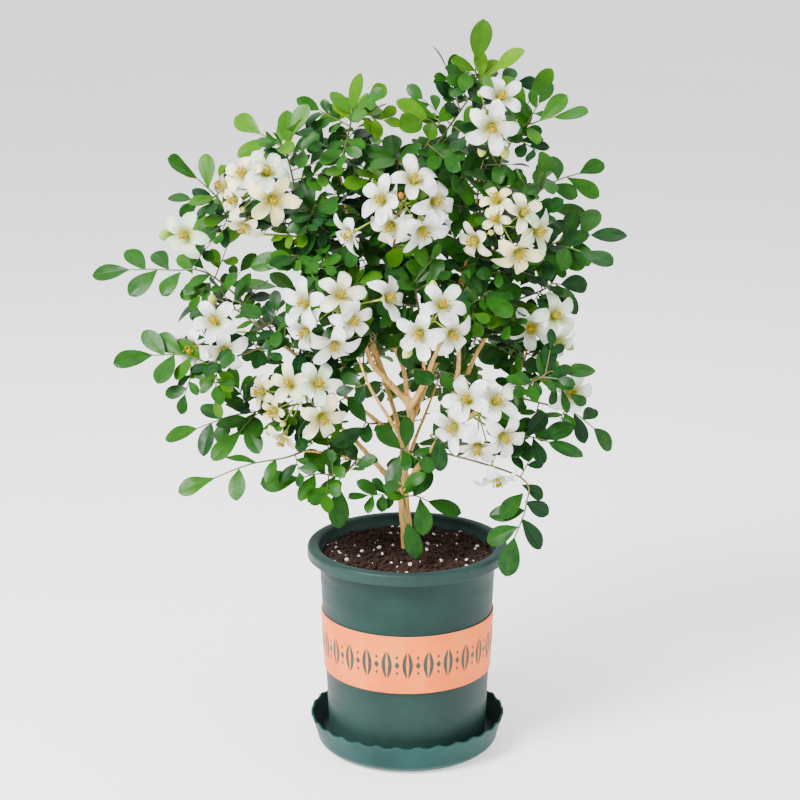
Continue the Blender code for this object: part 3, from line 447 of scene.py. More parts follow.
@dataclass(frozen=True)
class MouldedPlastic(Finish):
    """Matt moulded plastic with faint mottling, turning lines and scuffs.

    The mesh keeps in "shade" the share of a paler grey: painted fill light where shade falls,
    partly settled limescale.
    """

    dark: Colour
    light: Colour
    dusty: Colour
    painted_fill_and_lime_colour: Colour

    def lay_out(self) -> None:
        """Adds mottling, a paler bloom of dust, a paler grey of painted fill light and partly
        settled limescale, and fine lines round the wall.
        """
        colour = self.mix(self.patches(34, 0.35, 0.65, detail=4), self.dark, self.light)
        streaks = self.noise(6, 4, self.stretched(0.08, 0.08, 1))
        dust = self.times(self.span(streaks, 0.45, 0.75, 0, 0.16),
                          self.patches(70, 0.4, 0.65, 0.2, 1, 2))
        colour = self.mix(dust, colour, self.dusty)
        # A paler grey where shade falls: painted fill light, partly settled limescale.
        painted_fill_and_lime = self.times(self.shade()[0], self.patches(9, 0.3, 0.7, 0.7, 1))
        rings = self.noise(2.2, 2, self.stretched(0.02, 0.02, 1))
        self.coat(Base_Color=self.mix(painted_fill_and_lime, colour, self.painted_fill_and_lime_colour),
                  Roughness=self.span(streaks, 0.3, 0.7, 0.4, 0.55), Specular_IOR_Level=0.17)
        self.bump(self.plus(rings, self.times(self.noise(0.9), 0.5)), 0.12, 0.45)


@dataclass(frozen=True)
class PaintedBand(Finish):
    """The salmon band: a satin coat, a little faded in patches.

    The mesh keeps in "shade" where its edges take a paler painted sheen.
    """

    full: Colour
    faded: Colour
    painted_edge_sheen: Colour

    def lay_out(self) -> None:
        """Adds the fading, fine worn specks, a paler painted sheen on the edges and a slight
        unevenness.
        """
        colour = self.mix(self.patches(26, 0.38, 0.66), self.full, self.faded)
        colour = self.mix(self.patches(1.6, 0.62, 0.78, 0, 0.5, 4), colour, self.faded)
        # The edges and the inner side take a paler tone: painted sheen, matching how the face looks
        # under its reflections.
        self.coat(Base_Color=self.mix(self.shade()[0], colour, self.painted_edge_sheen),
                  Roughness=self.patches(4, 0.3, 0.7, 0.42, 0.6), Specular_IOR_Level=0.16)
        self.bump(self.noise(3), 0.08, 0.4)


@dataclass(frozen=True)
class Speckled(Finish):
    """Two colours in fine patches: worn figures, porous perlite, and pollen.

    A span is (low, high, start, end), and grain is the (size, detail, depth, strength) of the
    bumps.
    """

    first: Colour
    second: Colour
    size: float
    detail: float
    share: Span
    rough: Span
    grain: Span
    specular: float = 0.5

    def lay_out(self) -> None:
        """Adds the patches and the grain."""
        patches = self.noise(self.size, self.detail)
        self.coat(Base_Color=self.mix(self.span(patches, *self.share), self.first, self.second),
                  Roughness=self.span(patches, *self.rough), Specular_IOR_Level=self.specular)
        size, detail, depth, strength = self.grain
        self.bump(self.noise(size, detail), depth, strength)


@dataclass(frozen=True)
class PottingMix(Finish):
    """Dark crumbly potting mix, with paler fibres, and painted shade darkening the hollows of its
    crumbs.
    """

    painted_hollow_shade: Colour
    brown: Colour
    fibre: Colour

    def lay_out(self) -> None:
        """Adds crumbs, fibres, and painted shade in the crumbs' hollows."""
        crumbs = self.noise(2.6, 6, distortion=0.4)
        # The crumbs' hollows in the bump take the darkest tone: painted shade.
        colour = self.ramp(crumbs, (0.32, self.painted_hollow_shade), (0.52, self.brown), (0.75, self.brown))
        fibres = self.noise(1.4, 5, self.stretched(1, 3.2, 1.6), 1.5)
        self.coat(Base_Color=self.mix(self.span(fibres, 0.6, 0.74, 0, 0.75), colour, self.fibre),
                  Roughness=self.span(crumbs, 0.3, 0.7, 1, 0.82), Specular_IOR_Level=0.2)
        self.bump(self.plus(crumbs, self.noise(0.7, 4)), 1.1, 0.9)


@dataclass(frozen=True)
class Bark(Finish):
    """Smooth pale bark: tan, streaked along the stem, with grey-green patches and darker knots."""

    tan: Colour
    pale: Colour
    dark: Colour
    green: Colour

    def lay_out(self) -> None:
        """Adds streaks along the stem, patches and fine fissures."""
        streaks = self.noise(2, 6, self.stretched(1, 1, 0.16), 0.6)
        colour = self.ramp(streaks, (0.28, self.dark), (0.45, self.tan), (0.66, self.pale))
        colour = self.mix(self.patches(1.5, 0.62, 0.72, 0, 0.55, 2), colour, self.dark)
        colour = self.mix(self.patches(11, 0.5, 0.64, 0, 0.6, 4), colour, self.green)
        fissures = self.noise(0.9, 5, self.stretched(1, 1, 0.3), 1.2)
        colour = self.mix(self.span(fissures, 0.62, 0.74, 0, 0.7), colour, self.dark)
        self.coat(Base_Color=colour, Roughness=self.span(streaks, 0.3, 0.7, 0.85, 0.62))
        self.bump(self.plus(streaks, self.times(fissures, 0.6)), 0.45, 0.7)


@dataclass(frozen=True)
class LeafBlade(Finish):
    """Glossy leaflets: dark old ones to yellow-green young ones, with veins and a paler back.

    The mesh keeps (youth, along, across) in "shade", and 1 in "under" on a leaflet's back.
    """

    deep: Colour
    middle: Colour
    young: Colour
    tender: Colour
    back: Colour

    def lay_out(self) -> None:
        """Adds the age ramp, midrib, side veins, mottling and the paler back."""
        youth, along, across = self.shade()
        under = self.kept("under", "Fac")
        off = self.calc("ABSOLUTE", across)
        age = self.plus(youth, self.patches(7, 0.3, 0.7, -0.09, 0.09, 4))
        colour = self.ramp(age, (0.04, self.deep), (0.36, self.middle), (0.68, self.young),
                           (0.95, self.tender))
        slant = self.calc("SUBTRACT", along, self.times(off, 0.17))
        waves = self.calc("SINE", self.times(slant, 46))
        side_veins = self.times(self.span(waves, 0.72, 1, 0, 1), self.span(off, 0.7, 1, 0.35, 0))
        midrib = self.span(off, 0.015, 0.09, 0.85, 0)
        veins = self.calc("MAXIMUM", self.times(side_veins, 0.25), midrib)
        colour = self.mix(self.times(veins, 0.2), colour, self.young)
        gloss = self.patches(4, 0.3, 0.7, 0.28, 0.44)
        self.coat(Base_Color=self.mix(self.times(under, 0.6), colour, self.back),
                  Roughness=self.plus(gloss, self.times(under, 0.25)), Specular_IOR_Level=0.12)
        relief = self.calc("SUBTRACT", self.times(self.noise(2.4), 0.6), veins)
        self.bump(relief, 0.16, 0.7)


@dataclass(frozen=True)
class GreenStem(Finish):
    """Twigs, rachises and pedicels: green at the tip, browner towards the wood.

    The mesh keeps (youth, along, 0) in "shade".
    """

    fresh: Colour
    woody: Colour

    def lay_out(self) -> None:
        """Adds the change from the wood to the tip, and streaks."""
        youth, along, _ = self.shade()
        streaks = self.span(self.noise(1.3, 4, self.stretched(1, 1, 0.4)), 0.3, 0.7, -0.2, 0.2)
        age = self.plus(self.plus(along, streaks), youth)
        self.coat(Base_Color=self.ramp(age, (0.1, self.woody), (0.75, self.fresh)),
                  Roughness=self.span(streaks, -0.2, 0.2, 0.42, 0.6))
        self.bump(self.noise(0.8), 0.1, 0.6)


@dataclass(frozen=True)
class PetalSkin(Finish):
    """Waxy petals: white with painted grey shade in patches and towards their edges, or mint, or
    cream, and yellow-green at the base.

    The mesh keeps (tint, along, across) in "shade".
    """

    white: Colour
    painted_shade: Colour
    mint: Colour
    cream: Colour
    base: Colour

    def lay_out(self) -> None:
        """Adds the tint, the coloured base, painted grey shade in patches and along the edges, and
        the fine veins along the petal.
        """
        tint, along, across = self.shade()
        # Random grey patches of painted shade over the white.
        painted_shade = self.patches(9, 0.38, 0.66, 0, 0.75)
        base = self.plus(along, self.patches(3, 0.3, 0.7, -0.07, 0.07))
        vein = self.span(self.calc("SINE", self.times(across, 21)), 0.75, 1, 0, 1)
        colour = self.mix(painted_shade, self.white, self.painted_shade)
        for share, tone in (
                (self.span(tint, 0, -1, 0, 0.85), self.mint),
                (self.span(tint, 0, 1, 0, 0.85), self.cream),
                (self.span(base, 0.1, 0.67, 0.95, 0), self.base),
                # Painted shade: darker grey towards each petal's edges.
                (self.span(self.calc("ABSOLUTE", across), 0.7, 1, 0, 0.5), self.painted_shade),
                # Fine grey lines along the veins, in the same grey.
                (self.times(vein, 0.22), self.painted_shade)):
            colour = self.mix(share, colour, tone)
        self.coat(Base_Color=colour, Roughness=self.span(painted_shade, 0, 0.75, 0.5, 0.62),
                  Subsurface_Weight=0.18, Subsurface_Radius=(0.004, 0.003, 0.002),
                  Subsurface_Scale=0.6)
        self.bump(self.plus(vein, self.noise(1.4)), 0.25, 0.8)


@dataclass(frozen=True)
class BudSkin(Finish):
    """Closed buds: cream with a green foot and a yellow-green flush along their seams.

    The mesh keeps (greenness, along, seam) in "shade".
    """

    tip: Colour
    foot: Colour
    green: Colour

    def lay_out(self) -> None:
        """Adds the green foot and the flushed seams."""
        greenness, along, across = self.shade()
        patchy = self.patches(2.4, 0.3, 0.7, -0.12, 0.12)
        colour = self.ramp(self.plus(along, patchy), (0.12, self.foot), (0.7, self.tip))
        colour = self.mix(self.times(greenness, 0.85), colour, self.green)
        seam = self.span(across, -1, -0.4, 0.4, 0)
        self.coat(Base_Color=self.mix(seam, colour, self.foot),
                  Roughness=self.span(patchy, -0.12, 0.12, 0.42, 0.56))
        self.bump(self.noise(1.5), 0.1, 0.5)


# The fourth tone of each plastic is the paler grey of painted fill light and limescale.
POT_PLASTIC = MouldedPlastic("pot_plastic", Slot.POT, *tones(
    "0D2724", "13302B", "2E4C46", "324642"))
SAUCER_PLASTIC = MouldedPlastic("saucer_plastic_look", Slot.SAUCER, *tones(
    "0E3330", "15403D", "30605C", "425250"))
# The third tone is the paler painted sheen of the band's edges.
SALMON = PaintedBand("salmon_coat", Slot.BAND, *tones("EE6B1E", "F37E30", "CE8A64"))
FIGURE = Speckled("dark_figures", Slot.BAND, *tones("122820", "3A422C"), 3, 5,
                  (0.45, 0.72, 0, 0.8), (0.45, 0.72, 0.45, 0.61), (1.2, 3, 0.05, 0.5))
# The first tone is the darkest, the painted shade of the mix's hollows.
MIX = PottingMix("crumbly_mix", Slot.SOIL, *tones("0E0908", "32211B", "644838"))
PERLITE = Speckled("perlite_grain", Slot.SOIL, *tones("9C9A92", "E4E2DC"), 1.1, 4,
                   (0.36, 0.5, 0, 1), (0.36, 0.5, 0.95, 0.7), (0.8, 4, 0.5, 0.8))
BARK = Bark("smooth_bark", Slot.BARK, *tones("CA9546", "E4BA6C", "886230", "A29454"))
BLADE = LeafBlade("glossy_blade", Slot.LEAF, *tones(
    "0C2D12", "204F10", "346403", "4C7402", "2E541A"))
STEM = GreenStem("green_twig", Slot.LEAF, *tones("4C5C22", "5C462C"))
# The second petal tone is the grey of the painted shade.
PETAL = PetalSkin("waxy_petal", Slot.PETAL, *tones(
    "F2F2F0", "B6B8CA", "B2DCA0", "F2E28C", "989806"))
PEDICEL = GreenStem("pedicel", Slot.PETAL, *tones("96AC38", "7A8036"))
ANTHER, FILAMENT, STIGMA = (
    Speckled(name, Slot.PETAL, *tones(*codes), 0.7, 4, (0.35, 0.65, 0, 1),
             (0.3, 0.7, 0.6, 0.8), (0.7, 4, 0.15, 0.7), 0.12)
    for name, *codes in (("anther", "968200", "846A00"), ("filament", "D6CC60", "B2A41E"),
                         ("stigma", "9A8400", "906E00")))
BUD = BudSkin("closed_bud", Slot.PETAL, *tones("CED062", "80960C", "549208"))
GOLDEN_BUD = BudSkin("golden_bud", Slot.PETAL, *tones("B66400", "9C7600", "8C8400"))


# Mesh building

Rings = Sequence[Sequence[int]]
Profile = list[Pair]
SheetRule = Callable[[float, float], Ends]
RiseRule = Callable[[float, float, float], float]
# Gives the share of painted fill light and limescale at (radius, height).
PaintedFillAndLimeRule = Callable[[float, float], float]


def next_round(ring: Sequence[int]) -> Iterator[tuple[int, int]]:
    """Returns each entry of a ring with the one after it, the last with the first."""
    return zip(ring, [*ring[1:], ring[0]])


def heading_at(route: Route, i: int) -> Vector:
    """Returns a route's direction at its point number i."""
    return (route[min(i + 1, len(route) - 1)] - route[max(i - 1, 0)]).normalized()


def square(side: Vector, along: Vector) -> Vector:
    """Returns a side direction made square to another one."""
    return (side - along * side.dot(along)).normalized()


def section(at: Vector, side: Vector, along: Vector, radius: float, sides: int) -> list[Vector]:
    """Returns the corners of a round section square to a direction, the first at its side."""
    other = along.cross(side)
    return [at + (side * cos(a) + other * sin(a)) * radius for a in turns(sides)]


def spun(angle: float, axis: str) -> Matrix:
    """Returns a turn about one of the axes."""
    return Matrix.Rotation(angle, 4, axis)


def placement(at: Vector, x: Vector, y: Vector, z: Vector) -> Matrix:
    """Returns the placement that has its origin at a point and these three axes."""
    return Matrix.Translation(at) @ Matrix((x, y, z)).transposed().to_4x4()


def smooth_route(points: Route, steps: Sequence[int]) -> list[Vector]:
    """Points along a smooth curve through the given ones.

    Args:
        points: The given points.
        steps: Steps for each span.

    Returns:
        The curve's points.
    """
    found = [points[0]]
    for i, parts in enumerate(steps):
        before, a, b = points[max(i - 1, 0)], points[i], points[i + 1]
        after = points[min(i + 2, len(points) - 1)]
        for k in range(1, parts + 1):
            t = k / parts
            found.append(0.5 * (
                2 * a + (b - before) * t + (2 * before - 5 * a + 4 * b - after) * t * t
                + (3 * a - before - 3 * b + after) * t * t * t))
    return found


def arc(centre: Pair, radius: float, start: float, end: float, steps: int) -> Profile:
    """Returns a round stretch of a profile, between two angles in degrees."""
    angles = (radians(a) for a in taper(start, end, steps + 1))
    return [(centre[0] + radius * cos(a), centre[1] + radius * sin(a)) for a in angles]


def show(name: str, data: bpy.types.ID) -> Piece:
    """Puts a mesh, a light or a camera in the scene and returns its object."""
    bpy.context.scene.collection.objects.link(bpy.data.objects.new(name, data))
    return bpy.data.objects[name]


def apply_modifiers(piece: Piece) -> None:
    """Replaces a piece's mesh by the mesh that its modifiers make.

    Args:
        piece: The piece.
    """
    bpy.context.view_layer.update()
    graph = bpy.context.evaluated_depsgraph_get()
    made = bpy.data.meshes.new_from_object(piece.evaluated_get(graph))
    piece.modifiers.clear()
    piece.data = made


def settle(piece: Piece, slot: Slot, *nodes: str) -> Piece:
    """Gives a piece its body and hides the CAD nodes that it stands for.

    Args:
        piece: The piece.
        slot: Not used.
        nodes: The nodes.

    Returns:
        The piece.
    """
    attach(piece, BODY)
    if nodes:
        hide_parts(*nodes)
    return piece


class Form:
    """Points, faces and their shades, gathered in millimetres into one piece of the model.

    Where a call names no finish, it takes the form's first one.
    """

    def __init__(self, *finishes: Finish) -> None:
        """Starts an empty form.

        Args:
            finishes: Its finishes.
        """
        self.finishes = finishes
        self.points: list[Vector] = []
        self.shades: list[Triple] = []
        self.under: list[float] = []
        self.faces: list[tuple[int, ...]] = []
        self.coats: list[int] = []

    def point(self, at: Vector, shade: Triple = (0, 0, 0), under: float = 0) -> int:
        """Adds a point.

        Args:
            at: Its place.
            shade: Its shade.
            under: 1 on the back of a sheet.

        Returns:
            Its number.
        """
        self.points.append(at)
        self.shades.append(shade)
        self.under.append(under)
        return len(self.points) - 1

    def ring(self, places: Iterable[Vector], shade: Triple = (0, 0, 0)) -> list[int]:
        """Adds points of one shade and returns their numbers."""
        return [self.point(at, shade) for at in places]

    def face(self, corners: Sequence[int], finish: Finish | None = None) -> None:
        """Adds a face."""
        self.faces.append(tuple(corners))
        self.coats.append(self.finishes.index(finish or self.finishes[0]))

    def bridge(self, low: Sequence[int], high: Sequence[int], finish: Finish | None = None) -> None:
        """Adds quads between two rings of as many points."""
        for (a, b), (c, d) in zip(next_round(low), next_round(high)):
            self.face((a, b, d, c), finish)

    def loft(self, rings: Rings, finish: Finish | None = None, foot: int | None = None,
             head: int | None = None) -> None:
        """Adds the closed skin of a row of rings.

        Args:
            rings: The rings, each of as many points.
            finish: The skin's finish.
            foot: Point that closes the first ring, if its end isn't flat.
            head: Point that closes the last ring, if its end isn't flat.
        """
        for low, high in zip(rings, rings[1:]):
            self.bridge(low, high, finish)
        for ring, tip in ((rings[0][::-1], foot), (rings[-1], head)):
            ends = [ring] if tip is None else [(*pair, tip) for pair in next_round(ring)]
            for corners in ends:
                self.face(corners, finish)

    def tube(self, route: Route, radii: Floats, sides: int,
             finish: Finish | None = None, tint: float = 0, span: Pair = (0, 1)) -> None:
        """Adds a closed round tube, whose shade is (tint, a value along it, 0).

        Args:
            route: Points of its middle line.
            radii: Radius at each point, or at its two ends.
            sides: Sides of its section.
            finish: Its finish.
            tint: Its tint.
            span: The value at its two ends.
        """
        side = (route[1] - route[0]).orthogonal().normalized()
        rings, count = [], len(route)
        radii = radii if len(radii) == count else taper(*radii, count)
        for i, (at, radius, value) in enumerate(zip(route, radii, taper(*span, count))):
            along = heading_at(route, i)
            side = square(side, along)
            rings.append(self.ring(section(at, side, along, radius, sides), (tint, value, 0)))
        self.loft(rings, finish)

    def sheet(self, rows: Floats, columns: Floats, rule: SheetRule,
              finish: Finish, tint: float) -> None:
        """Adds a closed thin sheet, whose shade is (tint, share along, share across).

        Args:
            rows: Where its rows lie along it.
            columns: Where its columns lie across it, -1 to 1.
            rule: Gives its upper and lower point at (along, across).
            finish: Its finish.
            tint: Its tint.
        """
        pairs = [[rule(along, across) for across in columns] for along in rows]
        shares = taper(0, 1, len(rows))
        top, bottom = ([[self.point(pair[under], (tint, share, across), float(under))
                         for across, pair in zip(columns, row)]
                        for share, row in zip(shares, pairs)] for under in (0, 1))
        for i in range(len(rows) - 1):
            for k in range(len(columns) - 1):
                self.face((top[i][k], top[i + 1][k], top[i + 1][k + 1], top[i][k + 1]), finish)
                self.face((bottom[i][k], bottom[i][k + 1], bottom[i + 1][k + 1],
                           bottom[i + 1][k]), finish)
        self.bridge(*([*grid[0], *(row[-1] for row in grid[1:-1]), *grid[-1][::-1],
                       *(row[0] for row in grid[-2:0:-1])] for grid in (top, bottom)), finish)

    def globe(self, place: Matrix, radius: Triple, finish: Finish | None = None,
              sides: int = 8, rings: int = 5, shade: Triple = (0, 0.5, 0)) -> None:
        """Adds a closed rounded grain.

        Args:
            place: Its placement, in millimetres.
            radius: Its radius along each axis.
            finish: Its finish.
            sides: Sides round its Z axis.
            rings: Rings between its ends.
            shade: Its shade.
        """
        loops = []
        for k in range(rings + 2):
            rise = pi * (k / (rings + 1) - 0.5)
            wide, deep, high = radius[0] * cos(rise), radius[1] * cos(rise), radius[2] * sin(rise)
            loops.append(self.ring([place @ Vector((wide * cos(a), deep * sin(a), high))
                                    for a in turns(sides if 0 < k <= rings else 1)], shade))
        self.loft(loops[1:-1], finish, loops[0][0], loops[-1][0])

    def turned(self, profile: Profile, steps: int, painted_fill_and_lime: PaintedFillAndLimeRule,
               rise: RiseRule = lambda radius, height, turn: 0) -> None:
        """Adds a solid turned about Z, closed on the axis at both ends of its profile.

        Args:
            profile: (radius, height) pairs; the first and the last lie on the axis.
            steps: Steps round the axis.
            painted_fill_and_lime: Gives the share of painted fill light and limescale at (radius,
                height).
            rise: Gives what (radius, height, angle) adds to the height.
        """
        first, *rings, last = [
            self.ring([polar(radius, a, height + rise(radius, height, a))
                       for a in turns(steps if radius else 1)], (painted_fill_and_lime(radius, height), 0, 0))
            for radius, height in profile]
        self.loft(rings, None, first[0], last[0])

    def join(self, other: "Form") -> None:
        """Takes over another form's points and faces.

        Args:
            other: The other form.
        """
        start = len(self.points)
        self.points += other.points
        self.shades += other.shades
        self.under += other.under
        for corners, coat in zip(other.faces, other.coats):
            self.face([start + k for k in corners], other.finishes[coat])

    def mesh(self, name: str, crease: float = 50) -> bpy.types.Mesh:
        """Turns the form into a mesh in metres.

        Args:
            name: The mesh's name.
            crease: Edges sharper than this many degrees stay sharp.

        Returns:
            The mesh, with its finishes and shades.
        """
        made = bpy.data.meshes.new(name)
        made.from_pydata([at * MM for at in self.points], [], self.faces)
        for finish in self.finishes:
            made.materials.append(finish.material())
        made.polygons.foreach_set("material_index", self.coats)
        made.polygons.foreach_set("use_smooth", [True] * len(self.faces))
        shade = made.attributes.new("shade", "FLOAT_VECTOR", "POINT")
        shade.data.foreach_set("vector", [part for triple in self.shades for part in triple])
        made.attributes.new("under", "FLOAT", "POINT").data.foreach_set("value", self.under)
        made.validate()
        made.set_sharp_from_angle(angle=radians(crease))
        return made

    def stand(self, name: str, *nodes: str, crease: float = 50) -> Piece:
        """Returns the form as a piece of the model that stands for some CAD nodes."""
        return settle(show(name, self.mesh(name, crease)), self.finishes[0].slot, *nodes)


# Pot, band, saucer and potting mix

@dataclass
class Pot:
    """The turned pot: a tapered wall, a soft shoulder and a rolled rim with a downturned skirt."""

    base_z: float = 3.3
    top_z: float = 180
    base_radius: float = 67
    neck_radius: float = 75
    neck_z: float = 172
    wall: float = 2.2
    floor: float = 3
    rim_radius: float = 85
    rim_drop: float = 10
    rim_thickness: float = 2.4
    rim_rounding: float = 3.2
    # Shares of the paler grey on the rim and at the foot: painted fill light, partly limescale.
    rim_painted_fill_and_lime: float = 0.32
    foot_painted_fill_and_lime: float = 0.6
    drain_holes: int = 4
    drain_circle: float = 36
    drain_radius: float = 5
    steps: int = 192

    def radius(self, z: float) -> float:
        """Returns the wall's outer radius at a height."""
        share = (z - self.base_z) / (self.neck_z - self.base_z)
        return self.base_radius + (self.neck_radius - self.base_radius) * share

    def profile(self) -> Profile:
        """Returns the turned outline, from the floor's inside over the rim to its underside."""
        floor_z, top = self.base_z + self.floor, self.top_z
        inner = self.radius(floor_z) - self.wall
        under = top - self.rim_thickness
        edge = self.rim_radius - self.rim_rounding
        skirt, skirt_z = self.rim_radius - self.rim_thickness, top - self.rim_drop
        return [
            (0, floor_z), (40, floor_z), (inner - 4, floor_z),
            *arc((inner - 4, floor_z + 4), 4, -90, -5, 6),
            *((self.radius(z) - self.wall, z) for z in (40, 80, 120, 150, 165, self.neck_z)),
            *arc((self.neck_radius + 3.6, top - 4), 4, 168, 90, 8),
            (edge - 1, top),
            *arc((edge, top - self.rim_rounding), self.rim_rounding, 90, 0, 9),
            (self.rim_radius, skirt_z + 1),
            *arc((self.rim_radius - 0.8, skirt_z + 0.8), 0.8, 0, -90, 4),
            (skirt + 0.4, skirt_z), (skirt, skirt_z + 0.6), (skirt, under - 1.6),
            *arc((skirt - 1.6, under - 1.6), 1.6, 0, 90, 4),
            (self.neck_radius + 2.6, under),
            *arc((self.neck_radius + 2.6, under - 2), 2, 90, 180, 5),
            (self.neck_radius + 0.55, self.neck_z - 1), (self.neck_radius + 0.3, 168),
            (self.neck_radius + 0.05, 166.4),
            *((self.radius(z), z) for z in (164.6, 150, 120, 80, 40, 12, self.base_z + 2.5)),
            *arc((self.base_radius - 2.4, self.base_z + 2.4), 2.4, 0, -90, 5),
            (self.base_radius - 6, self.base_z), (40, self.base_z), (0, self.base_z),
        ]

    def painted_fill_and_lime(self, radius: float, z: float) -> float:
        """Where a paler grey goes, painted fill light that lifts shaded places and partly settled
        limescale: towards the saucer, on the rim and in the pot's mouth.

        Args:
            radius: Distance from the axis.
            z: Height.

        Returns:
            Its share.
        """
        # Paler inside the mouth above the mix, on the rim and low on the wall: painted fill light,
        # partly limescale.
        if radius < self.radius(z) - self.wall / 2:
            return smooth_step((z - 150) / 10)
        rim = self.rim_painted_fill_and_lime if radius > self.neck_radius + 1 else 0
        return max(rim, self.foot_painted_fill_and_lime * smooth_step((78 - z) / 62))

    def build(self) -> list[Piece]:
        """Returns the pot with its drain holes cut."""
        form, drill = Form(POT_PLASTIC), Form(POT_PLASTIC)
        form.turned(self.profile()[::-1], self.steps, self.painted_fill_and_lime)
        for i in range(self.drain_holes):
            at = polar(self.drain_circle, 2 * pi * (i + 0.5) / self.drain_holes)
            drill.tube([at + UP * -2, at + UP * 12], [self.drain_radius] * 2, 32)
        piece = show("plastic_pot", form.mesh("plastic_pot", 40))
        cutter = show("drill", drill.mesh("drill"))
        cut = piece.modifiers.new("drain_holes", "BOOLEAN")
        cut.operation, cut.object, cut.solver = "DIFFERENCE", cutter, "EXACT"
        apply_modifiers(piece)
        bpy.data.objects.remove(cutter, do_unlink=True)
        return [settle(piece, Slot.POT, "pot")]


@dataclass
class Band:
    """The salmon band, with a row of slit leaf figures and small lozenges round it."""

    pot: Pot
    low_z: float = 71
    high_z: float = 122
    rounding: float = 0.3
    gap: float = 0.3
    thickness: float = 1
    figures: int = 26
    figure_height: float = 24
    figure_width: float = 8.8
    figure_steps: int = 14
    slit: float = 1
    lozenges: tuple[Pair, ...] = ((0, 2.2), (7, 1.2), (-7, 1.2))
    sunk: float = 0.4
    proud: float = 0.12
    steps: int = 192

    def skin(self, z: float) -> float:
        """Returns the band's outer radius at a height."""
        return self.pot.radius(z) + self.gap + self.thickness

    def build(self) -> list[Piece]:
        """Returns the ring and its figures."""
        return [self.ring(), self.ornament()]

    def ring(self) -> Piece:
        """Returns the flat ring, with softened edges."""
        form, soft = Form(SALMON), self.rounding
        # The third number is 1 on the rounded edges and the inner side, which take the paler
        # painted sheen.
        outline = [(self.skin(z) - inset, z, 1 if inset else 0) for z, inset in (
            (self.low_z, soft), (self.low_z + soft, 0), (96, 0), (self.high_z - soft, 0),
            (self.high_z, soft))]
        outline += [(self.pot.radius(z) + self.gap, z, 1) for z in (self.high_z, self.low_z)]
        rings = [form.ring([polar(radius, a, z) for a in turns(self.steps)], (painted_edge_sheen, 0, 0))
                 for radius, z, painted_edge_sheen in outline]
        for low, high in zip(rings, rings[1:] + rings[:1]):
            form.bridge(low, high)
        return form.stand("salmon_ring", "pot_band", crease=40)

    def patch(self, form: Form, outline: Profile, turn: float) -> None:
        """Adds a raised figure on the band.

        Args:
            form: The form.
            outline: Its (across, up) points, from the figure's middle.
            turn: Its middle's angle round the pot.
        """
        middle = (self.low_z + self.high_z) / 2
        skins = [(self.skin(middle + rise), across, rise) for across, rise in outline]
        form.loft([form.ring([polar(radius + lift, turn + across / radius, middle + rise)
                              for radius, across, rise in skins])
                   for lift in (-self.sunk, self.proud)])

    def ornament(self) -> Piece:
        """Returns the row of figures."""
        form = Form(FIGURE)
        half, wide, slit = self.figure_height / 2, self.figure_width / 2, self.slit / 2
        for i in range(self.figures):
            turn = 2 * pi * (i + 0.5) / self.figures
            for side in (-1, 1):
                outer, inner = [], []
                for k in range(self.figure_steps + 1):
                    share = -1 + 2 * k / self.figure_steps
                    bulge = cos(share * pi / 2) ** 0.8
                    outer.append((side * (slit + (wide - slit) * bulge), share * half))
                    inner.append((side * (slit + 0.16 * wide * bulge * bulge), share * half * 0.93))
                self.patch(form, outer + inner[::-1] if side > 0 else inner + outer[::-1], turn)
            for rise, size in self.lozenges:
                self.patch(form, [(0, rise - size * 1.5), (size, rise),
                                  (0, rise + size * 1.5), (-size, rise)], turn + pi / self.figures)
        return form.stand("band_figures", crease=30)


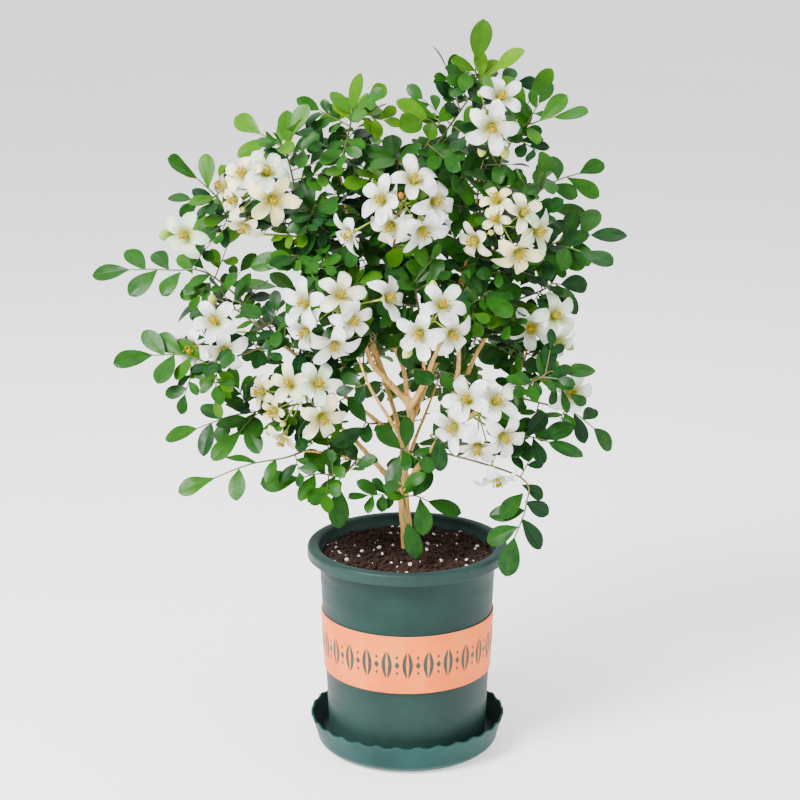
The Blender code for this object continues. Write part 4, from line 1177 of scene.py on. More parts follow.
@dataclass
class Saucer:
    """The flared dish under the pot, with a thin scalloped edge."""

    foot_radius: float = 70
    edge_radius: float = 83.5
    edge_z: float = 27
    turn_out: float = 7.6
    turn_z: float = 6.6
    flare: float = 1.15
    wall: float = 2.2
    floor: float = 3
    # Share of the paler grey inside the dish: painted fill light, partly limescale.
    painted_fill_and_lime_share: float = 0.85
    scallops: int = 30
    scallop_height: float = 1.9
    scallop_depth: float = 9
    steps_a_scallop: int = 10

    def outer(self, climb: float) -> float:
        """Returns the wall's outer radius at a share of its height."""
        turned = self.foot_radius + self.turn_out
        return turned + (self.edge_radius - turned) * climb ** self.flare

    def rise(self, radius: float, z: float, turn: float) -> float:
        """How far the scallops lift a point of the wall.

        Args:
            radius: Its distance from the axis.
            z: Its height.
            turn: Its angle.

        Returns:
            The lift.
        """
        share = smooth_step((z - self.edge_z + self.scallop_depth) / self.scallop_depth)
        wave = cos(self.scallops * turn)
        return share * self.scallop_height / 2 * (wave - 0.25 * (1 - wave * wave))

    def painted_fill_and_lime(self, radius: float, z: float) -> float:
        """Where a paler grey goes, painted fill light in the shaded dish and partly settled
        limescale: only on the inside, up to near the edge.

        Args:
            radius: Distance from the axis.
            z: Height.

        Returns:
            Its share.
        """
        # Inside the dish only: painted fill light where shade falls, partly limescale.
        outside = self.outer(max(0, (z - self.turn_z) / (self.edge_z - self.turn_z)))
        inside = z >= self.floor and radius < outside - 0.75 * self.wall
        return self.painted_fill_and_lime_share * smooth_step((self.edge_z - z) / 8) if inside else 0

    def build(self) -> list[Piece]:
        """Returns the dish."""
        out, up = self.foot_radius + self.turn_out, self.turn_z
        top, edge = self.edge_z, self.edge_radius
        lip = self.wall / 2 - 0.35
        wall = [(self.outer(s), up + (top - up) * s)
                for s in (0.1, 0.25, 0.45, 0.62, 0.74, 0.84, 0.92)]
        profile = [
            (0, 0), (40, 0), (self.foot_radius - 2, 0), (self.foot_radius, 0.5),
            (self.foot_radius + 3.2, 1.9), (self.foot_radius + 5.9, 4.2), (out, up), *wall,
            *arc((edge - lip, top - lip), lip, -10, 90, 4),
            *arc((edge - self.wall + lip, top - lip), lip, 90, 190, 4),
            *((radius - self.wall, z) for radius, z in wall[::-1]),
            (out - self.wall, up + 0.6), (self.foot_radius + 3.6, 4.6),
            (self.foot_radius + 1, self.floor), (40, self.floor), (0, self.floor),
        ]
        form = Form(SAUCER_PLASTIC)
        form.turned(profile, self.scallops * self.steps_a_scallop, self.painted_fill_and_lime, self.rise)
        return [form.stand("scalloped_saucer", "saucer")]


@dataclass(frozen=True)
class Grains:
    """A kind of loose grain on the mix; the higher its power, the more of them are small."""

    stream: str
    finish: Finish
    count: int
    smallest: float
    largest: float
    power: float
    sink: float
    sides: int
    rings: int


@dataclass
class PottingSoil:
    """The potting mix: a lumpy mound in the pot, loose crumbs on it and grains of perlite."""

    pot: Pot
    edge_z: float = 169
    mound: float = 3
    lump: float = 1.6
    lump_size: float = 13
    crumb_layers: tuple[Pair, ...] = ((6, 1.5), (3.1, 1.1), (1.6, 0.7))
    seed: int = 7
    wall_gap: float = 0.35
    trunk_x: float = 0
    trunk_y: float = 8
    trunk_clearance: float = 7.5
    rings: int = 64
    steps: int = 208
    crumbs: Grains = Grains("crumbs", MIX, 1500, 0.7, 2.6, 2.4, 0.25, 6, 3)
    perlite: Grains = Grains("perlite", PERLITE, 104, 0.55, 2, 1.9, 0.1, 10, 6)

    def height(self, x: float, y: float) -> float:
        """The mound's height, as in the part's source.

        Args:
            x: Place across.
            y: Place to the back.

        Returns:
            The height.
        """
        reach = hypot(x, y) / self.pot.radius(self.edge_z)
        lumps = noise.noise(Vector((x / self.lump_size, y / self.lump_size, self.seed)))
        return self.edge_z + self.mound * (1 - reach * reach) + self.lump * lumps

    def surface(self, radius: float, turn: float) -> Vector:
        """The surface with its crumbs.

        Args:
            radius: Distance from the axis.
            turn: Angle.

        Returns:
            The point there.
        """
        x, y = radius * cos(turn), radius * sin(turn)
        rough = sum(depth * noise.noise(Vector((x / size, y / size, self.seed + size)))
                    for size, depth in self.crumb_layers)
        return Vector((x, y, self.height(x, y) + rough))

    def build(self) -> list[Piece]:
        """Returns the mound, its crumbs and its perlite."""
        return [self.body(), self.scatter(self.crumbs).stand("soil_crumbs", crease=35),
                self.scatter(self.perlite).stand("perlite_grains", crease=60)]

    def body(self) -> Piece:
        """Returns the filling of the pot under its crumbly surface."""
        gap = self.pot.wall + self.wall_gap
        foot_z = self.pot.base_z + self.pot.floor + 0.3
        edge = self.pot.radius(self.edge_z) - gap
        form = Form(MIX)
        middle = form.point(self.surface(0, 0))
        rings = [form.ring([self.surface(edge * ((i + 1) / self.rings) ** 0.8, a)
                            for a in turns(self.steps)]) for i in range(self.rings)]
        for z, rounding in ((150, 0), (100, 0), (50, 0), (foot_z + 4, 0), (foot_z, 4)):
            rings.append(form.ring([polar(self.pot.radius(z) - gap - rounding, a, z)
                                    for a in turns(self.steps)]))
        form.loft(rings[::-1], head=middle)
        return form.stand("potting_mound", "soil", crease=80)

    def spot(self, rng: Rng, spare: float) -> Vector:
        """Picks a place on the surface, clear of the trunk.

        Args:
            rng: Its random stream.
            spare: How far it stays from the wall.

        Returns:
            The place.
        """
        edge = self.pot.radius(self.edge_z) - self.pot.wall - self.wall_gap - spare
        while True:
            at = self.surface(edge * sqrt(rng.random()), rng.uniform(0, 2 * pi))
            if hypot(at.x - self.trunk_x, at.y - self.trunk_y) > self.trunk_clearance:
                return at

    def scatter(self, kind: Grains) -> Form:
        """Strews rough rounded grains on the surface.

        Args:
            kind: Their kind.

        Returns:
            The grains as one form.
        """
        rng, form = look_random(kind.stream), Form(kind.finish)
        for _ in range(kind.count):
            size = kind.smallest + (kind.largest - kind.smallest) * rng.random() ** kind.power
            at = self.spot(rng, size)
            turn = spun(rng.uniform(0, 2 * pi), "Z") @ spun(rng.uniform(-1.2, 1.2), "X")
            place = Matrix.Translation(at + UP * size * (0.7 - kind.sink)) @ turn
            start = len(form.points)
            form.globe(place, (size * rng.uniform(0.8, 1.3), size * rng.uniform(0.7, 1.1),
                               size * rng.uniform(0.6, 0.95)), None, kind.sides, kind.rings)
            for k in range(start, len(form.points)):
                away = form.points[k] - place.translation
                wobble = noise.noise(form.points[k] * (1.4 / size) + at)
                form.points[k] = place.translation + away * (1 + 0.5 * wobble)
        return form


# Growing plan, as in the part's source

@dataclass(frozen=True)
class Root:
    """A point of a limb that a twig can grow from."""

    at: Vector
    along: Vector
    radius: float
    last: bool

    def seat(self, target: Vector) -> Ends:
        """Where a twig to a target starts, just off the limb, and its heading there.

        Args:
            target: What it grows to.

        Returns:
            The start and the heading.
        """
        if self.last:
            return self.at + self.along * SEAT_GAP, self.along
        heading = square(target - self.at, self.along)
        return self.at + heading * (self.radius + SEAT_GAP), heading


@dataclass(frozen=True)
class Leaflet:
    """A leaflet as the CAD node has it: its placement in metres, its length, width and droop."""

    place: Matrix
    length: float
    width: float
    droop: float

    def tip(self) -> Vector:
        """Returns its tip, in metres."""
        return self.place @ Vector((self.length, 0, -self.droop * self.length))


class BuiltNode:
    """The corners of one CAD node, which tell what the plan's choices came to."""

    def __init__(self, node: str) -> None:
        """Reads the node's corners.

        Args:
            node: Its name.
        """
        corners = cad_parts[node].data.vertices
        self.tree = KDTree(len(corners))
        for i, corner in enumerate(corners):
            self.tree.insert(corner.co, i)
        self.tree.balance()

    def holds(self, at: Vector) -> bool:
        """Returns True if the node has a corner at a place in metres."""
        distance = self.tree.find(at)[2]
        return distance is not None and distance < SAME_CORNER * MM

    def matches(self, places: Iterable[Vector]) -> int:
        """Returns how many of some places in metres the node has a corner at."""
        return sum(self.holds(at) for at in places)


@dataclass
class GrowingPlan:
    """The rules by which twigs, fronds and leaflets are placed."""

    steps_a_span: int = 6
    bare_share: float = 0.2
    root_choices: int = 8
    root_stride: int = 4
    turn_cost: float = 18
    drop_cost: float = 0.8
    fork_turn: float = 0.55
    stem_steps: tuple[int, ...] = (2, 1, 1)
    frond_arch: float = 3
    bends: Floats = (0, 5, 9, 14, 20)
    side_bends: Floats = (0, 4, 8, 12, 16)
    twig_radius: float = 1.2
    side_radius: float = 0.9
    tip_radius: float = 0.8
    end_leaflet: float = 29
    shortest_rachis: float = 8
    main_leaflets: int = 4
    sides_in_front: tuple[tuple[int, int], ...] = ((1, 3),)
    sides_behind: tuple[tuple[int, int], ...] = ((1, 3), (-1, 2))
    root_sink: float = 0.5
    leaf_length: float = 28
    leaf_width: float = 14.5
    leaf_turns: tuple[Pair, ...] = (
        (0, 0), (0, 0.5), (-0.25, -0.5), (0.25, 0.6), (-0.45, 0.9), (0.4, -0.9), (-0.6, -1.3),
        (0.6, 1.4))
    back_from_y: float = 40
    roots: list[Root] = field(default_factory=list)

    def __post_init__(self) -> None:
        """Finds the points of the limbs that twigs can grow from."""
        for limb in LIMBS[1:]:
            points, radii = limb.points(), limb.radii()
            spans = len(points) - 1
            for i in range(spans):
                along = (points[i + 1] - points[i]).normalized()
                for k in range(self.steps_a_span):
                    share = k / self.steps_a_span
                    if (i + share) / spans > self.bare_share:
                        radius = radii[i] + (radii[i + 1] - radii[i]) * share
                        self.roots.append(Root(points[i].lerp(points[i + 1], share), along,
                                               radius, False))
            self.roots.append(Root(points[-1], along, radii[-1], True))

    def roots_for(self, target: Vector) -> list[Root]:
        """The limb points that a twig to a target can grow from, the best first.

        Args:
            target: What the twig grows to.

        Returns:
            The points.
        """
        def cost(root: Root) -> float:
            """How ill a root suits the twig.

            Args:
                root: The root.

            Returns:
                Its distance, with more for its height and its direction.
            """
            away = target - root.at
            drop = max(0, root.at.z - target.z)
            turn = root.along.dot(away.normalized()) - (1 if root.last else self.fork_turn)
            return away.length + self.drop_cost * drop + self.turn_cost * abs(turn)
        ranked = sorted(self.roots, key=cost)
        return ranked[:self.root_choices * self.root_stride:self.root_stride]

    def bend(self, rng: Rng, low: float) -> Vector:
        """Returns a random bend whose last part is at least low."""
        return Vector((rng.uniform(-1, 1), rng.uniform(-1, 1), rng.uniform(low, 1)))

    def rachis_end(self, base: Vector, tip: Vector) -> Vector:
        """Returns where a rachis ends so that its last leaflet reaches to the tip."""
        away = tip - base
        return base + away.normalized() * max(away.length - self.end_leaflet, self.shortest_rachis)

    def fronds_of(self, spray: SprayPlan) -> list[tuple[Vector, int]]:
        """The fronds of a spray.

        Args:
            spray: The spray.

        Returns:
            (end of the rachis, number of leaflets) of each.
        """
        base = Vector(spray.base)
        if isinstance(spray.fronds[0][0], tuple):
            return [(self.rachis_end(base, Vector(tip)), count) for tip, count in spray.fronds]
        rng = plan_random(spray.node + " fronds")
        tip = Vector(spray.fronds[0])
        along = tip - base
        side = along.cross(UP).normalized() * rng.choice((-1, 1))
        found = [(self.rachis_end(base, tip), self.main_leaflets)]
        sides = self.sides_behind if base.y > self.back_from_y else self.sides_in_front
        for turn, count in sides:
            lift = side.cross(along).normalized() * rng.uniform(-0.35, 0.35)
            reach = side * turn * rng.uniform(0.7, 0.95) + lift
            away = along * 0.5 + reach * along.length
            found.append((self.rachis_end(base, base + away), count))
        return found

    def stems(self, name: str, base: Vector, tip: Vector) -> Iterator[
            tuple[Root, Vector, list[Vector]]]:
        """Ways that a spray's stem can take.

        Args:
            name: The spray's node.
            base: Where its leaves begin.
            tip: The end of its first rachis.

        Yields:
            The root, the heading at it, and the guide points of the stem.
        """
        rng = plan_random(name + " stem")
        for root in self.roots_for(base):
            seat, heading = root.seat(base)
            for wide in self.bends:
                bend = self.bend(rng, -0.3) * wide
                middle = base.lerp(tip, 0.5) + Vector((0, 0, self.frond_arch)) + bend
                yield root, heading, [seat, base + bend, middle, tip]

    def side_routes(self, name: str, index: int, root: Vector,
                    tip: Vector) -> Iterator[list[Vector]]:
        """Ways that a side frond's rachis can take.

        Args:
            name: The spray's node.
            index: Which side frond.
            root: Where it leaves the stem.
            tip: Its end.

        Yields:
            The rachis's three points.
        """
        rng = plan_random(f"{name} side {index}")
        for wide in self.side_bends:
            bend = self.bend(rng, 0) * wide
            yield [root, root.lerp(tip, 0.5) + Vector((0, 0, self.frond_arch)) + bend,
                   tip + bend * 0.5]

    def stem_corners(self, route: Route, radii: Floats,
                     heading: Vector | None = None) -> Iterator[Vector]:
        """The corners of a stem as the CAD node has it, three at each point of its route.

        Args:
            route: Its points.
            radii: Its radius at each.
            heading: Which way its first end is square to.

        Yields:
            The corners, in metres.
        """
        side = (route[-1] - route[0]).normalized().orthogonal().normalized()
        for i, (at, radius) in enumerate(zip(route, radii)):
            along = heading_at(route, i) if i or heading is None else heading
            for corner in section(at, square(side, along), along, radius, 3):
                yield corner * MM

    def leaf_normal(self, at: Vector) -> Vector:
        """Which way blades face at a point of the crown.

        Args:
            at: The point.

        Returns:
            The direction.
        """
        outward = Vector((at.x, at.y, 0)).normalized()
        level = Vector((0, -1 if at.y < self.back_from_y else 1, 0))
        return (outward * 0.25 + level * 0.75 + UP * 0.75).normalized()

    def leaflet(self, at: Vector, x: Vector, face: Vector, length: float, width: float,
                droop: float) -> Leaflet:
        """Returns the leaflet that starts at a point, points along x and faces about one way."""
        y = face.normalized().cross(x).normalized()
        return Leaflet(placement(at * MM, x, y, x.cross(y)), length * MM, width * MM, droop)

    def leaflets(self, name: str, route: Route, count: int,
                 start: float) -> Iterator[list[Leaflet]]:
        """The leaflets along a rachis, alternate, with one at its end.

        Args:
            name: Their random stream.
            route: The rachis.
            count: How many.
            start: Share of the rachis where the first one is.

        Yields:
            The placements that each leaflet can take, the plain one first.
        """
        rng = plan_random(name)
        spans = [(b - a).length for a, b in zip(route, route[1:])]
        for i in range(count):
            terminal = i == count - 1
            share = 1 if terminal else start + (1 - start) * i / (count - 0.6)
            left = share * sum(spans)
            k = 0
            while k < len(spans) - 1 and left > spans[k]:
                left -= spans[k]
                k += 1
            along = (route[k + 1] - route[k]).normalized()
            at = route[k] + along * (left - (self.root_sink if terminal else 0))
            length = (0.8 + 0.35 * share) * rng.uniform(0.9, 1.1)
            spread = radians(6 if terminal else rng.uniform(48, 62))
            width = length * rng.uniform(0.9, 1.1)
            tilt, droop = rng.uniform(-0.25, 0.25), rng.uniform(0.05, 0.22)
            normal = self.leaf_normal(at)
            across = along.cross(normal).normalized() * (1 if i % 2 else -1)
            yield [self.leaflet(at, self.turned(along, across, spread + extra),
                                normal + across * (tilt + roll), self.leaf_length * length,
                                self.leaf_width * width, droop) for extra, roll in self.leaf_turns]

    def turned(self, along: Vector, across: Vector, angle: float) -> Vector:
        """Returns a direction turned by an angle towards another one."""
        return (along * cos(angle) + across * sin(angle)).normalized()


# Foliage

@dataclass
class Blade:
    """The form of a fine leaflet: obovate, folded along its midrib and arched to its tip."""

    thickness: float = 0.5
    rows: int = 9
    columns: Floats = (-1, -0.6, -0.24, 0, 0.24, 0.6, 1)
    row_crowding: float = 1.35
    obovate: Pair = (0.85, 1.3)
    tip_slope: float = 0.64
    narrowest: float = 0.035

    def half_width(self, along: float, obovate: float) -> float:
        """The blade's half width, as a share of its widest.

        Args:
            along: Share of its length.
            obovate: The higher, the nearer its widest place is to its tip.

        Returns:
            The share.
        """
        widest = obovate / (obovate + self.tip_slope)
        full = widest ** obovate * (1 - widest) ** self.tip_slope
        return max(self.narrowest, along ** obovate * (1 - along) ** self.tip_slope / full)

    def add(self, form: Form, leaflet: Leaflet, youth: float, rng: Rng) -> None:
        """Adds the leaflet to a form.

        Args:
            form: The form.
            leaflet: Its placement and size.
            youth: Its age, 0 old to 1 young.
            rng: Its random stream.
        """
        length, width = leaflet.length / MM, leaflet.width / MM
        place = Matrix.Translation(leaflet.place.translation / MM) @ leaflet.place.to_3x3().to_4x4()
        fold = rng.uniform(0.1, 0.3)
        wave, phase = rng.uniform(0.1, 0.5), rng.uniform(0, 6.3)
        twist, sweep = rng.uniform(-0.45, 0.45), rng.uniform(-0.08, 0.08)
        obovate = rng.uniform(*self.obovate)

        def both_sides(along: float, off: float) -> Ends:
            """A place of the blade.

            Args:
                along: Share of its length.
                off: Place across, -1 to 1.

            Returns:
                Its upper and its lower point.
            """
            half = self.half_width(along, obovate) * width / 2
            turn = twist * along * along
            lift = (abs(off) * half * fold - off * off * half * fold * 0.55 + off * half * sin(turn)
                    + wave * abs(off) ** 3 * sin(along * 9 + phase + off))
            at = Vector((along * length, off * half * cos(turn) + sweep * along * along * length,
                         -leaflet.droop * along * along * length + lift))
            thick = self.thickness * (1 - 0.6 * abs(off))
            return place @ at, place @ (at - UP * thick)
        rows = [1 - (1 - share) ** self.row_crowding for share in taper(0, 1, self.rows + 1)]
        form.sheet(rows, self.columns, both_sides, BLADE, youth)


@dataclass
class Spray:
    """One leafy spray: its stem from the limb, its side fronds and its leaflets."""

    plan: GrowingPlan
    layout: SprayPlan
    blade: Blade = field(default_factory=Blade)
    lines: list[list[Vector]] = field(default_factory=list)

    def distance(self, at: Vector) -> float:
        """Returns how far a place is from the spray's middle lines."""
        return min((point - at).length for line in self.lines for point in line)

    def twig_roots(self) -> list[Root]:
        """Returns the places of the spray's stem that a further frond can grow from."""
        line = self.lines[0]
        return [Root(line[i], heading_at(line, i), self.plan.tip_radius, False)
                for i in range(2, len(line) * 2 // 3)]

    def rachises(self, built: BuiltNode) -> Iterator[tuple[list[Vector], list[Vector], int, float]]:
        """Finds the rachises that the CAD node was built with.

        Args:
            built: The node.

        Yields:
            The CAD's points, the smooth points, the number of leaflets and the first one's share.
        """
        plan, name = self.plan, self.layout.node
        tips = plan.fronds_of(self.layout)
        steps = plan.stem_steps
        radii = taper(plan.twig_radius, plan.tip_radius, sum(steps) + 1)
        root, _, guides = max(
            plan.stems(name, Vector(self.layout.base), tips[0][0]),
            key=lambda way: built.matches(plan.stem_corners(
                smooth_route(way[2], steps), radii, way[1])))
        way = smooth_route(guides, steps)[steps[0]:]
        yield way, [root.at, *smooth_route(guides, (8, 5, 5))], tips[0][1], 0.12
        radii = [plan.side_radius, plan.side_radius, plan.tip_radius]
        for index, (tip, count) in enumerate(tips[1:]):
            matches, side = max(
                ((built.matches(plan.stem_corners(route, radii)), route)
                 for route in plan.side_routes(name, index, way[0], tip)), key=lambda pair: pair[0])
            if matches:
                yield side, smooth_route(side, (6, 5)), count, 0.4

    def grow(self) -> Form:
        """Returns the spray as a form."""
        name, youth = self.layout.node, self.layout.youth
        built = BuiltNode(name)
        rng = look_random(name)
        form = Form(BLADE, STEM)
        for index, (way, fine, count, first) in enumerate(self.rachises(built)):
            thick = (0.75, 0.5) if index else (1.05, 0.55)
            form.tube(fine, thick, 7, STEM, youth * 0.5, (-0.1, 1))
            self.lines.append(fine)
            for choices in self.plan.leaflets(f"{name} {index}", way, count, first):
                chosen = next((each for each in choices if built.holds(each.tip())), None)
                if chosen:
                    self.blade.add(form, chosen, youth + rng.uniform(-0.16, 0.16), rng)
        return form

    def stand(self, form: Form) -> Piece:
        """Returns the piece that the grown form makes."""
        name = self.layout.node
        return form.stand(name.replace("spray", "foliage"), name, crease=60)


@dataclass
class Wood:
    """The trunk and its limbs: tubes along smooth routes, melted into one another at the forks."""

    sides: int = 12
    steps: int = 4
    girth: float = 1.04
    voxel: float = 0.85
    smoothing: int = 5
    ridge: float = 0.2
    ridge_size: Pair = (1.7, 11)
    knot: float = 0.5
    knot_size: Pair = (5, 8)

    def bark(self, at: Vector) -> float:
        """How far the bark stands out, in ridges along the stem and in knots.

        Args:
            at: A point of the wood, in millimetres.

        Returns:
            The height, less on the thin limbs.
        """
        wide, high = self.ridge_size
        ridges = noise.noise(Vector((at.x / wide, at.y / wide, at.z / high)))
        wide, high = self.knot_size
        knots = noise.noise(Vector((at.x / wide, at.y / wide, at.z / high)) + UP * 9)
        share = smooth_step((300 - at.z) / 120) * 0.7 + 0.3
        return share * (ridges * self.ridge + knots * self.knot)

    def build(self) -> list[Piece]:
        """Returns the wood."""
        form = Form(BARK)
        for limb in LIMBS:
            points, radii = limb.points(), limb.radii()
            fine = smooth_route(points, [self.steps] * (len(points) - 1))
            form.tube(fine, [radius * self.girth for radius in taper(
                radii[0], radii[-1], len(fine))], self.sides)
        piece = show("wood", form.mesh("wood"))
        melt = piece.modifiers.new("melt", "REMESH")
        melt.mode, melt.voxel_size, melt.use_smooth_shade = "VOXEL", self.voxel * MM, True
        ease = piece.modifiers.new("ease", "SMOOTH")
        ease.factor, ease.iterations = 0.5, self.smoothing
        apply_modifiers(piece)
        normals = [corner.normal.copy() for corner in piece.data.vertices]
        for corner, normal in zip(piece.data.vertices, normals):
            corner.co += normal * MM * self.bark(corner.co / MM)
        return [settle(piece, Slot.BARK, "trunk_and_limbs")]


# Flowers

@dataclass
class Bloom:
    """One open flower: five recurved petals, ten stamens and a pistil, without its pedicel.

    It joins a form at a placement in millimetres, at a share of its full size.
    """

    form: Form
    place: Matrix
    share: float
    tint: float
    rng: Rng
    petals: int = 5
    petal_length: float = 20
    petal_cup: float = 0.28
    growth: float = 1.06
    rows: int = 10
    columns: Floats = (-1, -0.72, -0.38, 0, 0.38, 0.72, 1)
    thickness: float = 0.55
    half_width: float = 0.268
    widest_at: float = 0.64
    throat_radius: float = 0.9
    throat_depth: float = 3
    stamens: int = 10
    stamen_length: float = 8.4
    filament: Floats = (0.32, 0.28, 0.2)
    anther: Triple = (0.74, 0.6, 1.35)
    style: Floats = (0.9, 0.55, 0.5)
    stigma: Triple = (2.1, 2.1, 1.7)
    cup_z: Floats = (-5.4, -4.4, -3, -1.6)
    cup_radius: Floats = (0.8, 1.5, 1.75, 1.6)

    def outline(self, along: float) -> float:
        """A petal's half width, as a share of its widest.

        Args:
            along: Share of its length.

        Returns:
            The share.
        """
        swell = 0.4 + 0.6 * smooth_step(along / 0.5)
        if along <= self.widest_at:
            return swell
        past = (along - self.widest_at) / (1 - self.widest_at)
        return swell * max(0, 1 - past ** 2.3) ** 0.52 + 0.02

    def petal(self, turn: float) -> None:
        """Adds a petal.

        Args:
            turn: Its angle round the flower.
        """
        rng, place = self.rng, self.place
        length = self.petal_length * self.growth * self.share
        out, side = polar(1, turn), Vector((-sin(turn), cos(turn), 0))
        curl = rng.uniform(0.16, 0.72) if rng.random() < 0.75 else rng.uniform(-0.2, 0.1)
        channel, wave = rng.uniform(0.16, 0.5), rng.uniform(0.2, 0.8)
        phase, lean = rng.uniform(0, 6.3), rng.uniform(-0.14, 0.14)
        twist, raised = rng.uniform(-0.5, 0.5), rng.uniform(-0.08, 0.16)

        def both_sides(along: float, off: float) -> Ends:
            """A place of the petal.

            Args:
                along: Share of its length.
                off: Place across, -1 to 1.

            Returns:
                Its upper and its lower point.
            """
            half = self.outline(along) * self.half_width * length
            reach = self.throat_radius + (length - self.throat_radius) * along ** 1.12
            rise = (-self.throat_depth + (self.petal_cup * length + self.throat_depth)
                    * (1 - (1 - along) ** 2.5) + raised * length * along
                    - curl * length * max(0, along - 0.4) ** 2 * 2.2)
            spin = twist * along * along
            edge = (abs(off) ** 1.6 * half * channel * (1.3 - along) + off * half * sin(spin)
                    + wave * off * off * along * sin(along * 7 + phase + 2 * off))
            at = (out * reach + side * (off * half * cos(spin)
                                        + lean * length * along * along) + UP * (rise + edge))
            thick = self.thickness * (1 - 0.65 * abs(off)) * (1.2 - 0.4 * along)
            return place @ at, place @ (at - UP * thick - out * 0.2 * thick)
        rows = [0.02 + 0.98 * i / self.rows for i in range(self.rows + 1)]
        self.form.sheet(rows, self.columns, both_sides, PETAL, self.tint)

    def heart(self) -> None:
        """Adds the stamens, the pistil and the cup under them."""
        rng, place, form = self.rng, self.place, self.form
        reach = 0.85 + 0.25 * self.share
        for i in range(self.stamens):
            away = polar(1, 2 * pi * (i + rng.uniform(-0.25, 0.25)) / self.stamens)
            height = self.stamen_length * reach * (1 if i % 2 else 0.78) * rng.uniform(0.9, 1.1)
            head = away * rng.uniform(2.2, 4.4) + UP * height
            foot = away * 1 + UP * -1.6
            middle = foot.lerp(head, 0.55) + away * -0.5
            form.tube([place @ at for at in (foot, middle, head)], self.filament, 5, FILAMENT)
            tilt = spun(rng.uniform(-0.9, 0.9), "X") @ spun(rng.uniform(-0.9, 0.9), "Y")
            form.globe(place @ Matrix.Translation(head) @ tilt, self.anther, ANTHER, 6, 3)
        top = Vector((rng.uniform(-0.6, 0.6), rng.uniform(-0.6, 0.6), self.stamen_length * 0.92))
        form.tube([place @ at for at in (UP * -1.8, top * 0.5, top)], self.style, 6, FILAMENT)
        form.globe(place @ Matrix.Translation(top + UP * 0.5), self.stigma, STIGMA, 10, 5)
        form.tube([place @ (UP * z) for z in self.cup_z], self.cup_radius, 10, PEDICEL,
                  0.3, (0.9, 0.9))

    def build(self) -> None:
        """Adds the flower to its form."""
        for turn in turns(self.petals):
            self.petal(turn)
        self.heart()


@dataclass
class ClosedBud:
    """One closed bud: a plump spindle of five folded petals, green by a share."""

    form: Form
    place: Matrix
    share: float
    greenness: float
    skin: BudSkin
    length: float = 15
    radius: float = 4.6
    sides: int = 25
    rows: int = 12

    def build(self) -> None:
        """Adds the bud to its form."""
        loops = []
        for along in taper(0, 1, self.rows + 1):
            swell = sin(pi * min(1, 0.06 + 0.92 * along) ** 1.18) ** 0.8
            loop = []
            for turn in turns(self.sides):
                fold = cos(5 * (turn + 0.7 * along))
                reach = self.radius * self.share * swell * (1 + 0.07 * fold) * 0.97
                at = polar(reach, turn, (along - 0.5) * self.length * self.share)
                loop.append(self.form.point(self.place @ at, (self.greenness, along, fold)))
            loops.append(loop)
        self.form.loft(loops, self.skin)


@dataclass(frozen=True)
class Head:
    """A bloom or a bud as seen from its cluster's hub."""

    is_open: bool
    share: float
    direction: Vector
    reach: float
    twist: float

    def place(self, hub: Vector) -> Matrix:
        """Its placement in a cluster.

        Args:
            hub: The cluster's hub.

        Returns:
            The placement, in millimetres.
        """
        side, out = UP.cross(self.direction).normalized(), self.direction
        turn = spun(self.twist, "Z")
        return placement(hub + out * self.reach, side, out.cross(side), out) @ turn


